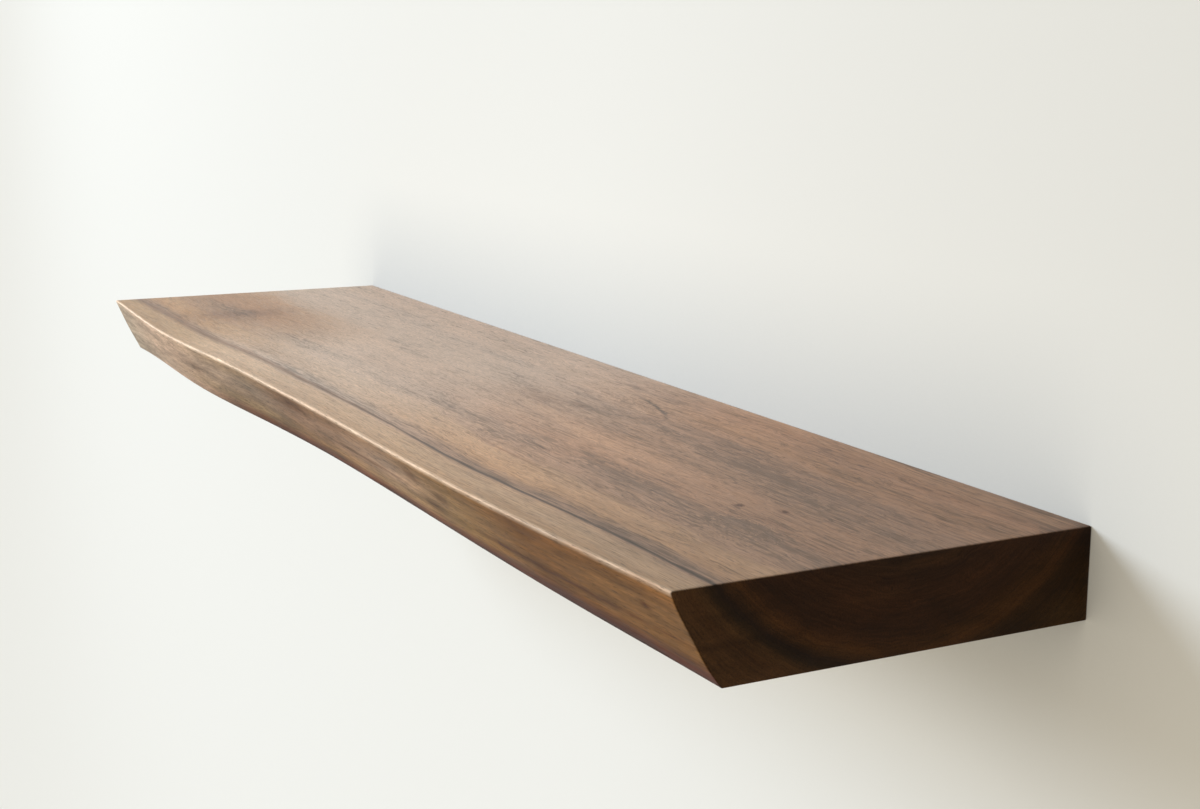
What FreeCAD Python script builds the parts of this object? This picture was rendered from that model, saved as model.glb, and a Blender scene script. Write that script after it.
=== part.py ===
import FreeCAD, Part
import math
import os
import Sketcher

# Floating wall shelf: one solid live-edge board that slides over steel rods and hides them.
#
# Frame: the wall is the plane Y = 0 and the shelf stands out from it towards -Y. X runs along
# the wall, Z is up. The origin is the centre of the steel bar's rear face, half way up the board.

SIZES = [
    # alias, value in mm (or a plain count), what it is
    ("board_length", 1100, "board, along the wall"),
    ("board_thickness", 50, "board, top to underside"),
    ("eased_edge", 1, "easing sanded on the board's open edges"),
    ("edge_bow", 1.5, "how far the sloping live edge swells at mid height"),
    ("bar_height", 38, "steel bar on the wall"),
    ("bar_thickness", 6, "steel bar on the wall"),
    ("bar_end", 50, "bar past the axis of the last rod"),
    ("bar_corner", 6, "radius of the bar's four corners"),
    ("bar_clearance", 1, "slot in the board round the bar, and in front of the welds"),
    ("rod_count", 6, "rods along the bar"),
    ("rod_pitch", 160, "rod to rod"),
    ("rod_diameter", 16, "rods"),
    ("rod_reach", 160, "rods, from the bar to their tips"),
    ("rod_lead", 2, "chamfer on each rod's tip"),
    ("bore_clearance", 0.1, "rod in its bore, on the radius"),
    ("bore_spare", 4, "bore left past the rod's tip"),
    ("weld_leg", 4, "fillet weld round each rod"),
    ("screw_rows", 20, "upper wall screw to lower wall screw"),
    ("screw_diameter", 6, "wall screw, over the thread"),
    ("screw_neck", 4.4, "wall screw, plain neck under the head"),
    ("screw_head", 11.6, "wall screw, countersunk head"),
    ("screw_length", 60, "wall screw, over all"),
    ("screw_tip", 6, "wall screw, length of its point"),
    ("screw_hole", 6.6, "hole in the bar for a wall screw"),
    ("screw_sink", 0.3, "screw heads below the bar's face"),
    ("thread_start", 0.3, "wall screw, start of its thread behind the bar"),
    ("insert_diameter", 9, "brass insert for a lock screw"),
    ("insert_length", 12, "brass insert for a lock screw"),
    ("insert_sink", 1, "insert below the board's underside"),
    ("insert_clearance", 0.05, "insert in the board, and lock screw in the insert, on the radius"),
    ("lock_diameter", 6, "lock screw"),
    ("lock_length", 15.5, "lock screw"),
    ("lock_socket", 3, "lock screw, hexagon socket across its flats"),
    ("lock_socket_depth", 3.5, "lock screw, depth of its socket"),
    ("lock_clearance", 0.3, "lock screw in the board above its insert, on the radius"),
    ("lock_gap", 0.3, "lock screw's flat point below the rod"),
    ("lock_setback", 70, "lock screws in front of the wall"),
]

# The live edge is two smooth curves, one on the top face and one on the underside. Their control
# points stand an eighth of the board's length apart, from left to right, and the first and last
# lie past the board's ends. TOP_EDGE is the depth of the top curve from the wall, and UNDERCUT
# is how much less deep the underside is there.
TOP_EDGE = [263, 270, 276, 278, 266, 263, 259, 259, 254, 243, 232]
UNDERCUT = [19, 24, 27, 29, 29, 35, 33, 34, 31, 27, 23]
STATIONS = len(TOP_EDGE)
SPANS = STATIONS - 3  # spaces between control points along the board itself
SPLINE_DEGREE = 3

# The sections that the live edge is lofted through: name, share of the way down, and whether
# it is set back by the easing.
WASTE_SECTIONS = [
    ("waste_top", 0, True),
    ("waste_below_top", 0, False),
    ("waste_upper", 0.25, False),
    ("waste_middle", 0.5, False),
    ("waste_lower", 0.75, False),
    ("waste_above_underside", 1, False),
    ("waste_underside", 1, True),
]

PAST_FRONT = 1.1  # the cut that forms the live edge reaches this much further than the blank
HEX_SIDES = 6
NEAR = 0.01  # how close an edge lies to a plane that it counts as being in


# ---------------------------------------------------------------- sheet and small helpers


def make_sheet(doc):
    """Write every driving size to the document's spreadsheet."""
    sheet = doc.addObject("Spreadsheet::Sheet", "Sizes")
    rows = list(SIZES)
    for number in range(STATIONS):
        rows.append(("top_edge_%d" % (number + 1), TOP_EDGE[number], "live edge, on the top face"))
    for number in range(STATIONS):
        rows.append(("undercut_%d" % (number + 1), UNDERCUT[number], "live edge, set back below"))
    for row, (alias, value, meaning) in enumerate(rows, start=1):
        sheet.set("A%d" % row, alias)
        sheet.set("B%d" % row, str(value))
        sheet.set("C%d" % row, meaning)
        sheet.setAlias("B%d" % row, alias)
    doc.recompute()
    return sheet


def new_body(doc, label):
    body = doc.addObject("PartDesign::Body", label)
    body.Label = label
    return body


def origin_item(body, role):
    return [item for item in body.Origin.OriginFeatures if item.Role == role][0]


def new_sketch(body, name, plane, offset=None):
    """Attach a sketch to one of the body's own planes, moved out along its normal by a formula."""
    sketch = body.newObject("Sketcher::SketchObject", name)
    sketch.AttachmentSupport = [(origin_item(body, plane), "")]
    sketch.MapMode = "FlatFace"
    if offset:
        sketch.setExpression("AttachmentOffset.Base.z", offset)
    return sketch


def value_of(sketch, formula):
    """The number that a formula gives now."""
    return float(sketch.evalExpression(formula))


def pin_point(sketch, geometry, end, across, up):
    """Hold one point of a sketch at two formulas, measured from the sketch's origin."""
    for kind, formula in (("DistanceX", across), ("DistanceY", up)):
        now = value_of(sketch, formula)
        number = sketch.addConstraint(Sketcher.Constraint(kind, -1, 1, geometry, end, now))
        sketch.setExpression("Constraints[%d]" % number, formula)


def draw_polygon(sketch, corners):
    """Draw a closed outline through corners, each a pair of formulas."""
    points = [FreeCAD.Vector(value_of(sketch, x), value_of(sketch, y), 0) for x, y in corners]
    lines = []
    for here, there in zip(points, points[1:] + points[:1]):
        lines.append(sketch.addGeometry(Part.LineSegment(here, there), False))
    for line, following in zip(lines, lines[1:] + lines[:1]):
        sketch.addConstraint(Sketcher.Constraint("Coincident", line, 2, following, 1))
    for line, (across, up) in zip(lines, corners):
        pin_point(sketch, line, 1, across, up)


def draw_axis(sketch, start, end):
    """Draw the construction line that a profile is turned about."""
    ends = [FreeCAD.Vector(value_of(sketch, x), value_of(sketch, y), 0) for x, y in (start, end)]
    line = sketch.addGeometry(Part.LineSegment(*ends), True)
    pin_point(sketch, line, 1, *start)
    pin_point(sketch, line, 2, *end)


def draw_rounded_rectangle(sketch, length, height, corner):
    """Draw a rectangle centred on the sketch's origin, with round corners; sizes are formulas."""
    half_long = value_of(sketch, length) / 2
    half_high = value_of(sketch, height) / 2
    radius = value_of(sketch, corner)
    quarter = math.pi / 2
    lines = []
    arcs = []
    for turn, (side_x, side_y) in enumerate(((1, -1), (1, 1), (-1, 1), (-1, -1))):
        centre = FreeCAD.Vector(side_x * (half_long - radius), side_y * (half_high - radius), 0)
        circle = Part.Circle(centre, FreeCAD.Vector(0, 0, 1), radius)
        first = (turn - 1) * quarter
        arcs.append(sketch.addGeometry(Part.ArcOfCircle(circle, first, first + quarter), False))
    for turn in range(4):
        start = sketch.Geometry[arcs[turn]].EndPoint
        end = sketch.Geometry[arcs[(turn + 1) % 4]].StartPoint
        lines.append(sketch.addGeometry(Part.LineSegment(start, end), False))
    for turn in range(4):
        following = arcs[(turn + 1) % 4]
        sketch.addConstraint(Sketcher.Constraint("Tangent", arcs[turn], 2, lines[turn], 1))
        sketch.addConstraint(Sketcher.Constraint("Tangent", lines[turn], 2, following, 1))
    for turn, kind in enumerate(("Vertical", "Horizontal", "Vertical", "Horizontal")):
        sketch.addConstraint(Sketcher.Constraint(kind, lines[turn]))
    for arc in arcs[1:]:
        sketch.addConstraint(Sketcher.Constraint("Equal", arcs[0], arc))
    number = sketch.addConstraint(Sketcher.Constraint("Radius", arcs[0], radius))
    sketch.setExpression("Constraints[%d]" % number, corner)
    pin_point(sketch, arcs[0], 3, "(%s)/2 - (%s)" % (length, corner), "(%s) - (%s)/2" % (corner, height))
    pin_point(sketch, arcs[2], 3, "(%s) - (%s)/2" % (corner, length), "(%s)/2 - (%s)" % (height, corner))


def turn_profile(body, name, sketch, cut=False):
    """Turn a sketch about its own construction line, adding or removing material."""
    kind = "PartDesign::Groove" if cut else "PartDesign::Revolution"
    feature = body.newObject(kind, name)
    feature.Profile = sketch
    feature.ReferenceAxis = (sketch, ["Axis0"])
    feature.Angle = 360
    return feature


def repeat_along(body, name, originals, axis, count, spacing):
    """Repeat features along one of the body's own axes; count and spacing are formulas."""
    pattern = body.newObject("PartDesign::LinearPattern", name)
    if originals:
        pattern.Originals = originals
    pattern.Direction = (origin_item(body, axis), [""])
    pattern.Mode = "Spacing"
    pattern.setExpression("Occurrences", count)
    pattern.setExpression("Offset", spacing)
    return pattern


def grid_of_screws(body, name, feature):
    """Repeat one wall screw or its hole: a pair, one above the other, in every second gap."""
    grid = body.newObject("PartDesign::MultiTransform", name)
    grid.Originals = [feature]
    pairs = "floor(Sizes.rod_count/2)"
    across = repeat_along(body, name + "_across", None, "X_Axis", pairs, "2*Sizes.rod_pitch")
    upward = repeat_along(body, name + "_upward", None, "Z_Axis", "2", "Sizes.screw_rows")
    grid.Transformations = [across, upward]
    body.Tip = grid
    return grid


def check_cut(before, feature, what):
    """A cut that points the wrong way removes nothing and shows no error, so compare volumes."""
    if not feature.Shape.Volume < before - 1.0:
        raise RuntimeError(what + " removed no material")


# ---------------------------------------------------------------- places used by many pieces

FIRST_ROD = "(-(Sizes.rod_count - 1)/2*Sizes.rod_pitch)"
BAR_LENGTH = "((Sizes.rod_count - 1)*Sizes.rod_pitch + 2*Sizes.bar_end)"
SLOT_DEPTH = "(Sizes.bar_thickness + Sizes.weld_leg + Sizes.bar_clearance)"
SCREW_X = "(" + FIRST_ROD + " + Sizes.rod_pitch/2)"
SCREW_Z = "(-Sizes.screw_rows/2)"


def section_height(share, eased):
    """Height of a live-edge section: share 0 is the top face, 1 is the underside.

    The easing lies between an eased section on a face and a section that is not eased near it.
    """
    height = "(0.5 - %s)*Sizes.board_thickness" % share
    if share in (0, 1) and not eased:
        height += " + %d*Sizes.eased_edge" % (2 * share - 1)
    return "(" + height + ")"


def edge_depths(share, eased):
    """Depth of the live edge at each station in such a section."""
    depths = []
    for number in range(1, STATIONS + 1):
        depth = "Sizes.top_edge_%d - %s*Sizes.undercut_%d" % (number, share, number)
        depth += " + %s*Sizes.edge_bow" % (4 * share * (1 - share))
        if eased:
            depth += " - Sizes.eased_edge"
        depths.append("(" + depth + ")")
    return depths


def station_x(number):
    """Place of a live-edge station along the board, counted from 0 at the left."""
    middle = (STATIONS - 1) / 2
    return "(%s*Sizes.board_length/%d)" % (number - middle, SPANS)


def deepest():
    """Depth of the blank: the largest depth of the live edge's control points."""
    names = ["Sizes.top_edge_%d" % number for number in range(1, STATIONS + 1)]
    return "max(%s)" % "; ".join(names)


# ---------------------------------------------------------------- the board


def draw_waste(sketch, depths):
    """Outline of what is cut away in front of the live edge at one height."""
    poles = []
    for number, depth in enumerate(depths):
        poles.append((station_x(number), "-" + depth))
    points = [FreeCAD.Vector(value_of(sketch, x), value_of(sketch, y), 0) for x, y in poles]
    curve = Part.BSplineCurve()
    curve.buildFromPoles(points, False, SPLINE_DEGREE)
    spline = sketch.addGeometry(curve, False)
    first_circle = None
    for number, ((across, up), point) in enumerate(zip(poles, points)):
        circle = sketch.addGeometry(Part.Circle(point, FreeCAD.Vector(0, 0, 1), 1), True)
        kind = "InternalAlignment:Sketcher::BSplineControlPoint"
        sketch.addConstraint(Sketcher.Constraint(kind, circle, 3, spline, number))
        if first_circle is None:
            first_circle = circle
            sketch.addConstraint(Sketcher.Constraint("Weight", circle, 1.0))
        else:
            sketch.addConstraint(Sketcher.Constraint("Equal", first_circle, circle))
        pin_point(sketch, circle, 3, across, up)
    outer = "(-%s*%s)" % (PAST_FRONT, deepest())
    right, left = station_x(STATIONS - 1), station_x(0)
    outside = [FreeCAD.Vector(value_of(sketch, x), value_of(sketch, outer), 0) for x in (right, left)]
    side_right = sketch.addGeometry(Part.LineSegment(points[-1], outside[0]), False)
    front = sketch.addGeometry(Part.LineSegment(outside[0], outside[1]), False)
    side_left = sketch.addGeometry(Part.LineSegment(outside[1], points[0]), False)
    sketch.addConstraint(Sketcher.Constraint("Coincident", spline, 2, side_right, 1))
    sketch.addConstraint(Sketcher.Constraint("Coincident", side_right, 2, front, 1))
    sketch.addConstraint(Sketcher.Constraint("Coincident", front, 2, side_left, 1))
    sketch.addConstraint(Sketcher.Constraint("Coincident", side_left, 2, spline, 1))
    pin_point(sketch, front, 1, right, outer)
    pin_point(sketch, front, 2, left, outer)


def make_slab(doc):
    """The board: a planed blank, its live edge, and the slot and bores that hide the bracket."""
    body = new_body(doc, "slab")

    blank_end = new_sketch(body, "blank_end", "XZ_Plane")
    half_long, half_high = "Sizes.board_length/2", "Sizes.board_thickness/2"
    draw_polygon(blank_end, [
        ("-" + half_long, "-" + half_high),
        (half_long, "-" + half_high),
        (half_long, half_high),
        ("-" + half_long, half_high),
    ])
    blank = body.newObject("PartDesign::Pad", "blank")
    blank.Profile = blank_end
    blank.setExpression("Length", deepest())
    doc.recompute()
    before = blank.Shape.Volume

    sections = []
    for name, share, eased in WASTE_SECTIONS:
        section = new_sketch(body, name, "XY_Plane", section_height(share, eased))
        draw_waste(section, edge_depths(share, eased))
        sections.append(section)
    doc.recompute()
    live_edge = body.newObject("PartDesign::SubtractiveLoft", "live_edge")
    live_edge.Profile = sections[0]
    live_edge.Sections = sections[1:]
    live_edge.Ruled = True
    doc.recompute()
    check_cut(before, live_edge, "live edge")

    eased_ends = body.newObject("PartDesign::Fillet", "eased_ends")
    eased_ends.Base = (live_edge, round_end_edges(doc, live_edge.Shape))
    eased_ends.setExpression("Radius", "Sizes.eased_edge")
    doc.recompute()
    before = eased_ends.Shape.Volume

    slot_outline = new_sketch(body, "bar_slot_outline", "XZ_Plane")
    draw_rounded_rectangle(
        slot_outline,
        BAR_LENGTH + " + 2*Sizes.bar_clearance",
        "Sizes.bar_height + 2*Sizes.bar_clearance",
        "Sizes.bar_corner + Sizes.bar_clearance",
    )
    slot = body.newObject("PartDesign::Pocket", "bar_slot")
    slot.Profile = slot_outline
    slot.Reversed = True
    slot.setExpression("Length", SLOT_DEPTH)
    doc.recompute()
    check_cut(before, slot, "bar slot")
    before = slot.Shape.Volume

    bore_profile = new_sketch(body, "bore_profile", "XY_Plane")
    bore_radius = "(Sizes.rod_diameter/2 + Sizes.bore_clearance)"
    bore_end = "(Sizes.bar_thickness + Sizes.rod_reach + Sizes.bore_spare)"
    draw_axis(bore_profile, (FIRST_ROD, "0"), (FIRST_ROD, "-" + bore_end))
    draw_polygon(bore_profile, [
        (FIRST_ROD, "0"),
        (FIRST_ROD + " + " + bore_radius, "0"),
        (FIRST_ROD + " + " + bore_radius, "-" + bore_end),
        (FIRST_ROD, "-" + bore_end),
    ])
    bore = turn_profile(body, "rod_bore", bore_profile, cut=True)
    doc.recompute()
    check_cut(before, bore, "rod bore")
    before = bore.Shape.Volume
    bores = repeat_along(body, "rod_bores", [bore], "X_Axis", "Sizes.rod_count", "Sizes.rod_pitch")
    body.Tip = bores
    doc.recompute()
    check_cut(before, bores, "row of bores")
    before = bores.Shape.Volume

    lock_profile = new_sketch(body, "lock_hole_profile", "XZ_Plane", "Sizes.lock_setback")
    seat_radius = "(Sizes.insert_diameter/2 + Sizes.insert_clearance)"
    clear_radius = "(Sizes.lock_diameter/2 + Sizes.lock_clearance)"
    underside = "(-Sizes.board_thickness/2)"
    seat_top = "(" + underside + " + Sizes.insert_sink + Sizes.insert_length)"
    in_bore = "(-Sizes.rod_diameter/4)"
    draw_axis(lock_profile, (FIRST_ROD, underside), (FIRST_ROD, "0"))
    draw_polygon(lock_profile, [
        (FIRST_ROD, underside),
        (FIRST_ROD + " + " + seat_radius, underside),
        (FIRST_ROD + " + " + seat_radius, seat_top),
        (FIRST_ROD + " + " + clear_radius, seat_top),
        (FIRST_ROD + " + " + clear_radius, in_bore),
        (FIRST_ROD, in_bore),
    ])
    lock_hole = turn_profile(body, "lock_hole", lock_profile, cut=True)
    doc.recompute()
    check_cut(before, lock_hole, "lock hole")
    before = lock_hole.Shape.Volume
    lock_holes = body.newObject("PartDesign::Mirrored", "lock_holes")
    lock_holes.Originals = [lock_hole]
    lock_holes.MirrorPlane = (origin_item(body, "YZ_Plane"), [""])
    body.Tip = lock_holes
    doc.recompute()
    check_cut(before, lock_holes, "second lock hole")
    return body


def round_end_edges(doc, shape):
    """The edges round the board's two ends, apart from those against the wall."""
    half_long = doc.Sizes.board_length / 2
    names = []
    for number, edge in enumerate(shape.Edges, start=1):
        box = edge.BoundBox
        at_end = abs(abs(box.XMin) - half_long) < NEAR and box.XLength < NEAR
        if at_end and box.YMin < -NEAR:
            names.append("Edge%d" % number)
    return names


# ---------------------------------------------------------------- the steel bracket


def make_back_bar(doc):
    """Flat steel bar with countersunk holes for the wall screws."""
    body = new_body(doc, "back_bar")
    outline = new_sketch(body, "bar_outline", "XZ_Plane")
    draw_rounded_rectangle(outline, BAR_LENGTH, "Sizes.bar_height", "Sizes.bar_corner")
    plate = body.newObject("PartDesign::Pad", "bar")
    plate.Profile = outline
    plate.setExpression("Length", "Sizes.bar_thickness")
    doc.recompute()
    before = plate.Shape.Volume

    hole_profile = new_sketch(body, "screw_hole_profile", "XY_Plane", SCREW_Z)
    hole_radius = "(Sizes.screw_hole/2)"
    sink_radius = "(Sizes.screw_head/2 + Sizes.screw_sink)"
    draw_axis(hole_profile, (SCREW_X, "0"), (SCREW_X, "-Sizes.bar_thickness"))
    draw_polygon(hole_profile, [
        (SCREW_X, "0"),
        (SCREW_X + " + " + hole_radius, "0"),
        (SCREW_X + " + " + hole_radius, "-Sizes.bar_thickness + " + sink_radius + " - " + hole_radius),
        (SCREW_X + " + " + sink_radius, "-Sizes.bar_thickness"),
        (SCREW_X, "-Sizes.bar_thickness"),
    ])
    hole = turn_profile(body, "screw_hole", hole_profile, cut=True)
    doc.recompute()
    check_cut(before, hole, "screw hole")
    before = hole.Shape.Volume
    holes = grid_of_screws(body, "screw_holes", hole)
    doc.recompute()
    check_cut(before, holes, "grid of screw holes")
    return body


def rod_x(number):
    return "(" + FIRST_ROD + " + %d*Sizes.rod_pitch)" % number


def make_rod(doc, number):
    """Round steel rod, butted on the bar's front face, with a tip chamfered to find its bore."""
    body = new_body(doc, "rod_%d" % (number + 1))
    axis_x = rod_x(number)
    profile = new_sketch(body, "rod_profile_%d" % (number + 1), "XY_Plane")
    radius = "Sizes.rod_diameter/2"
    tip = "(Sizes.bar_thickness + Sizes.rod_reach)"
    draw_axis(profile, (axis_x, "-Sizes.bar_thickness"), (axis_x, "-" + tip))
    draw_polygon(profile, [
        (axis_x, "-Sizes.bar_thickness"),
        (axis_x + " + " + radius, "-Sizes.bar_thickness"),
        (axis_x + " + " + radius, "-" + tip + " + Sizes.rod_lead"),
        (axis_x + " + " + radius + " - Sizes.rod_lead", "-" + tip),
        (axis_x, "-" + tip),
    ])
    turn_profile(body, "rod_turned_%d" % (number + 1), profile)
    return body


def make_weld_beads(doc):
    """Fillet welds, one between each rod and the bar's front face."""
    body = new_body(doc, "weld_beads")
    body.AllowCompound = True
    profile = new_sketch(body, "weld_profile", "XY_Plane")
    rod_side = FIRST_ROD + " + Sizes.rod_diameter/2"
    draw_axis(profile, (FIRST_ROD, "-Sizes.bar_thickness"), (FIRST_ROD, "0"))
    draw_polygon(profile, [
        (rod_side, "-Sizes.bar_thickness"),
        (rod_side + " + Sizes.weld_leg", "-Sizes.bar_thickness"),
        (rod_side, "-Sizes.bar_thickness - Sizes.weld_leg"),
    ])
    bead = turn_profile(body, "weld_bead", profile)
    doc.recompute()
    beads = repeat_along(body, "weld_row", [bead], "X_Axis", "Sizes.rod_count", "Sizes.rod_pitch")
    body.Tip = beads
    return body


# ---------------------------------------------------------------- fixings in the wall


def make_wall_screws(doc):
    """Countersunk wood screws that hold the bar to the timber behind the wall's surface."""
    body = new_body(doc, "wall_screws")
    body.AllowCompound = True
    profile = new_sketch(body, "wall_screw_profile", "XY_Plane", SCREW_Z)
    head_face = "(Sizes.screw_sink - Sizes.bar_thickness)"
    neck = "Sizes.screw_neck/2"
    thread = "Sizes.screw_diameter/2"
    head = "Sizes.screw_head/2"
    tip = "(" + head_face + " + Sizes.screw_length)"
    draw_axis(profile, (SCREW_X, head_face), (SCREW_X, tip))
    draw_polygon(profile, [
        (SCREW_X, head_face),
        (SCREW_X + " + " + head, head_face),
        (SCREW_X + " + " + neck, head_face + " + " + head + " - " + neck),
        (SCREW_X + " + " + neck, "Sizes.thread_start"),
        (SCREW_X + " + " + thread, "Sizes.thread_start"),
        (SCREW_X + " + " + thread, tip + " - Sizes.screw_tip"),
        (SCREW_X, tip),
    ])
    screw = turn_profile(body, "wall_screw", profile)
    doc.recompute()
    grid_of_screws(body, "wall_screw_grid", screw)
    return body


# ---------------------------------------------------------------- lock screws under the board


def lock_x(side):
    """The lock screws stand under the outermost rods; side is -1 or 1."""
    return FIRST_ROD if side < 0 else "(-" + FIRST_ROD + ")"


def make_insert(doc, side_name, side):
    """Brass insert, screwed into the board's underside."""
    body = new_body(doc, "insert_" + side_name)
    axis_x = lock_x(side)
    profile = new_sketch(body, "insert_profile_" + side_name, "XZ_Plane", "Sizes.lock_setback")
    inside = "(Sizes.lock_diameter/2 + Sizes.insert_clearance)"
    outside = "Sizes.insert_diameter/2"
    low = "(Sizes.insert_sink - Sizes.board_thickness/2)"
    high = "(" + low + " + Sizes.insert_length)"
    draw_axis(profile, (axis_x, low), (axis_x, high))
    draw_polygon(profile, [
        (axis_x + " + " + inside, low),
        (axis_x + " + " + outside, low),
        (axis_x + " + " + outside, high),
        (axis_x + " + " + inside, high),
    ])
    turn_profile(body, "insert_turned_" + side_name, profile)
    return body


def make_lock_screw(doc, side_name, side):
    """Flat-point socket set screw that presses on the outermost rod and keeps the board on."""
    body = new_body(doc, "lock_screw_" + side_name)
    axis_x = lock_x(side)
    profile = new_sketch(body, "lock_profile_" + side_name, "XZ_Plane", "Sizes.lock_setback")
    radius = "Sizes.lock_diameter/2"
    high = "(-Sizes.rod_diameter/2 - Sizes.lock_gap)"
    low = "(" + high + " - Sizes.lock_length)"
    draw_axis(profile, (axis_x, low), (axis_x, high))
    draw_polygon(profile, [
        (axis_x, low),
        (axis_x + " + " + radius, low),
        (axis_x + " + " + radius, high),
        (axis_x, high),
    ])
    turned = turn_profile(body, "lock_turned_" + side_name, profile)
    doc.recompute()
    before = turned.Shape.Volume

    socket_outline = new_sketch(body, "socket_outline_" + side_name, "XY_Plane", low)
    centre = FreeCAD.Vector(value_of(socket_outline, axis_x), -doc.Sizes.lock_setback, 0)
    draw_hexagon(socket_outline, centre, axis_x, "-Sizes.lock_setback", "Sizes.lock_socket")
    socket = body.newObject("PartDesign::Pocket", "socket_" + side_name)
    socket.Profile = socket_outline
    socket.Reversed = True
    socket.setExpression("Length", "Sizes.lock_socket_depth")
    doc.recompute()
    check_cut(before, socket, "lock screw socket")
    return body


def draw_hexagon(sketch, centre, across, up, flats):
    """Draw a regular hexagon round a point, from its size across the flats."""
    corner_radius = value_of(sketch, flats) / math.sqrt(3)
    guide = sketch.addGeometry(Part.Circle(centre, FreeCAD.Vector(0, 0, 1), corner_radius), True)
    corners = []
    for number in range(HEX_SIDES):
        turn = FreeCAD.Rotation(FreeCAD.Vector(0, 0, 1), 360 / HEX_SIDES * number)
        corners.append(centre + turn.multVec(FreeCAD.Vector(corner_radius, 0, 0)))
    sides = []
    for here, there in zip(corners, corners[1:] + corners[:1]):
        sides.append(sketch.addGeometry(Part.LineSegment(here, there), False))
    for side, following in zip(sides, sides[1:] + sides[:1]):
        sketch.addConstraint(Sketcher.Constraint("Coincident", side, 2, following, 1))
    for side in sides:
        sketch.addConstraint(Sketcher.Constraint("PointOnObject", side, 1, guide))
    for side in sides[1:]:
        sketch.addConstraint(Sketcher.Constraint("Equal", sides[0], side))
    sketch.addConstraint(Sketcher.Constraint("Horizontal", sides[1]))
    pin_point(sketch, guide, 3, across, up)
    number = sketch.addConstraint(Sketcher.Constraint("Radius", guide, corner_radius))
    sketch.setExpression("Constraints[%d]" % number, flats + " / sqrt(3)")


# ---------------------------------------------------------------- build, check, write


def check_document(doc, pieces):
    for item in doc.Objects:
        if "Invalid" in item.State or "Error" in item.State:
            raise RuntimeError("%s failed: %s" % (item.Name, item.State))
    for piece in pieces:
        if piece.Shape.isNull() or not piece.Shape.isValid():
            raise RuntimeError(piece.Label + " has no valid shape")


def main():
    doc = FreeCAD.newDocument("floating_shelf")
    sheet = make_sheet(doc)
    pieces = [make_slab(doc), make_back_bar(doc)]
    for number in range(int(sheet.rod_count)):
        pieces.append(make_rod(doc, number))
    pieces.append(make_weld_beads(doc))
    pieces.append(make_wall_screws(doc))
    for side_name, side in (("left", -1), ("right", 1)):
        pieces.append(make_insert(doc, side_name, side))
        pieces.append(make_lock_screw(doc, side_name, side))
    doc.recompute()
    check_document(doc, pieces)
    os.makedirs("parts", exist_ok=True)
    for piece in pieces:
        piece.Shape.exportStep("parts/%s.step" % piece.Label)
        box = piece.Shape.optimalBoundingBox(False)
        print("%-18s %2d solid(s) %9.1f mm3  x %.1f..%.1f  y %.1f..%.1f  z %.1f..%.1f" % (
            piece.Label, len(piece.Shape.Solids), piece.Shape.Volume,
            box.XMin, box.XMax, box.YMin, box.YMax, box.ZMin, box.ZMax))


main()
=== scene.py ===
"""Floating wall shelf: a live-edge walnut board that slides over the rods of a hidden steel bracket."""

import logging
import math
from dataclasses import dataclass
from enum import Enum
from typing import Callable, Sequence

import bmesh
import bpy
import numpy as np
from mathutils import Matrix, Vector, noise


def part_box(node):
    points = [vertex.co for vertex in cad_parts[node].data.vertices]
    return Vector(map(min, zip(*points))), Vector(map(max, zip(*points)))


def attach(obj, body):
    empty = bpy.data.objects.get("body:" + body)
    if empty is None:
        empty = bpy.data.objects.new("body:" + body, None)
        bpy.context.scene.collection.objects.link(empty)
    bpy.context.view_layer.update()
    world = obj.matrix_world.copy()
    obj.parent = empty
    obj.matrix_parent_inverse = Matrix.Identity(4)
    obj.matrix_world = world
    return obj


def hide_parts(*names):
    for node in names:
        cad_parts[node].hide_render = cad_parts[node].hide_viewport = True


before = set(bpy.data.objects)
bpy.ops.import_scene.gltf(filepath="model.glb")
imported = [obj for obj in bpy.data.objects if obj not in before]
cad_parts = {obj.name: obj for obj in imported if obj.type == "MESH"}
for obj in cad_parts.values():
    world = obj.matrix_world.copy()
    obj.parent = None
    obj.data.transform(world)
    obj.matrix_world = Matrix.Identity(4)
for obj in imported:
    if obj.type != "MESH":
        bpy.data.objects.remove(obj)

MM = 0.001  # the frame is in metres and the sizes below are in millimetres
TAU = 2.0 * math.pi
EASED = {"interpolation_type": "SMOOTHSTEP"}  # a Map Range node that eases in and out
FLOAT_MIX = (0, 2, 3)  # a Mix node's sockets for its factor and two numbers
COLOUR_MIX = (0, 6, 7)  # and for its factor and two colours
CORNER_STEPS = 6  # straight pieces in a round corner of the bar and its slot
SCREW_PITCH = 320.0  # between the columns of wall screws
SCREW_SPACING = 20.0  # and between their two rows

Triple = tuple[float, float, float]
Pairs = tuple[tuple[float, float], ...]
Colours = tuple[tuple[float, str], ...]  # places with their colours in sRGB hex
Piece = bpy.types.Object
Finish = bpy.types.Material

log = logging.getLogger("shelf")


class Axis(Enum):
    """The frame axis that a turned piece is turned about, with the two axes across it."""

    Y = (1, 0, 2)
    Z = (2, 0, 1)


class Body(Enum):
    """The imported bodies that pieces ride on."""

    BOARD = "board"
    BRACKET = "bracket"
    LOCK_LEFT = "lock_left"
    LOCK_RIGHT = "lock_right"


class Slot(Enum):
    """The record's material slots."""

    WALNUT = "walnut"
    BRACKET_STEEL = "bracket_steel"
    ZINC_STEEL = "zinc_steel"
    BRASS = "brass"
    BLACK_OXIDE = "black_oxide_steel"


# ---------------------------------------------------------------- numbers and meshes


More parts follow.
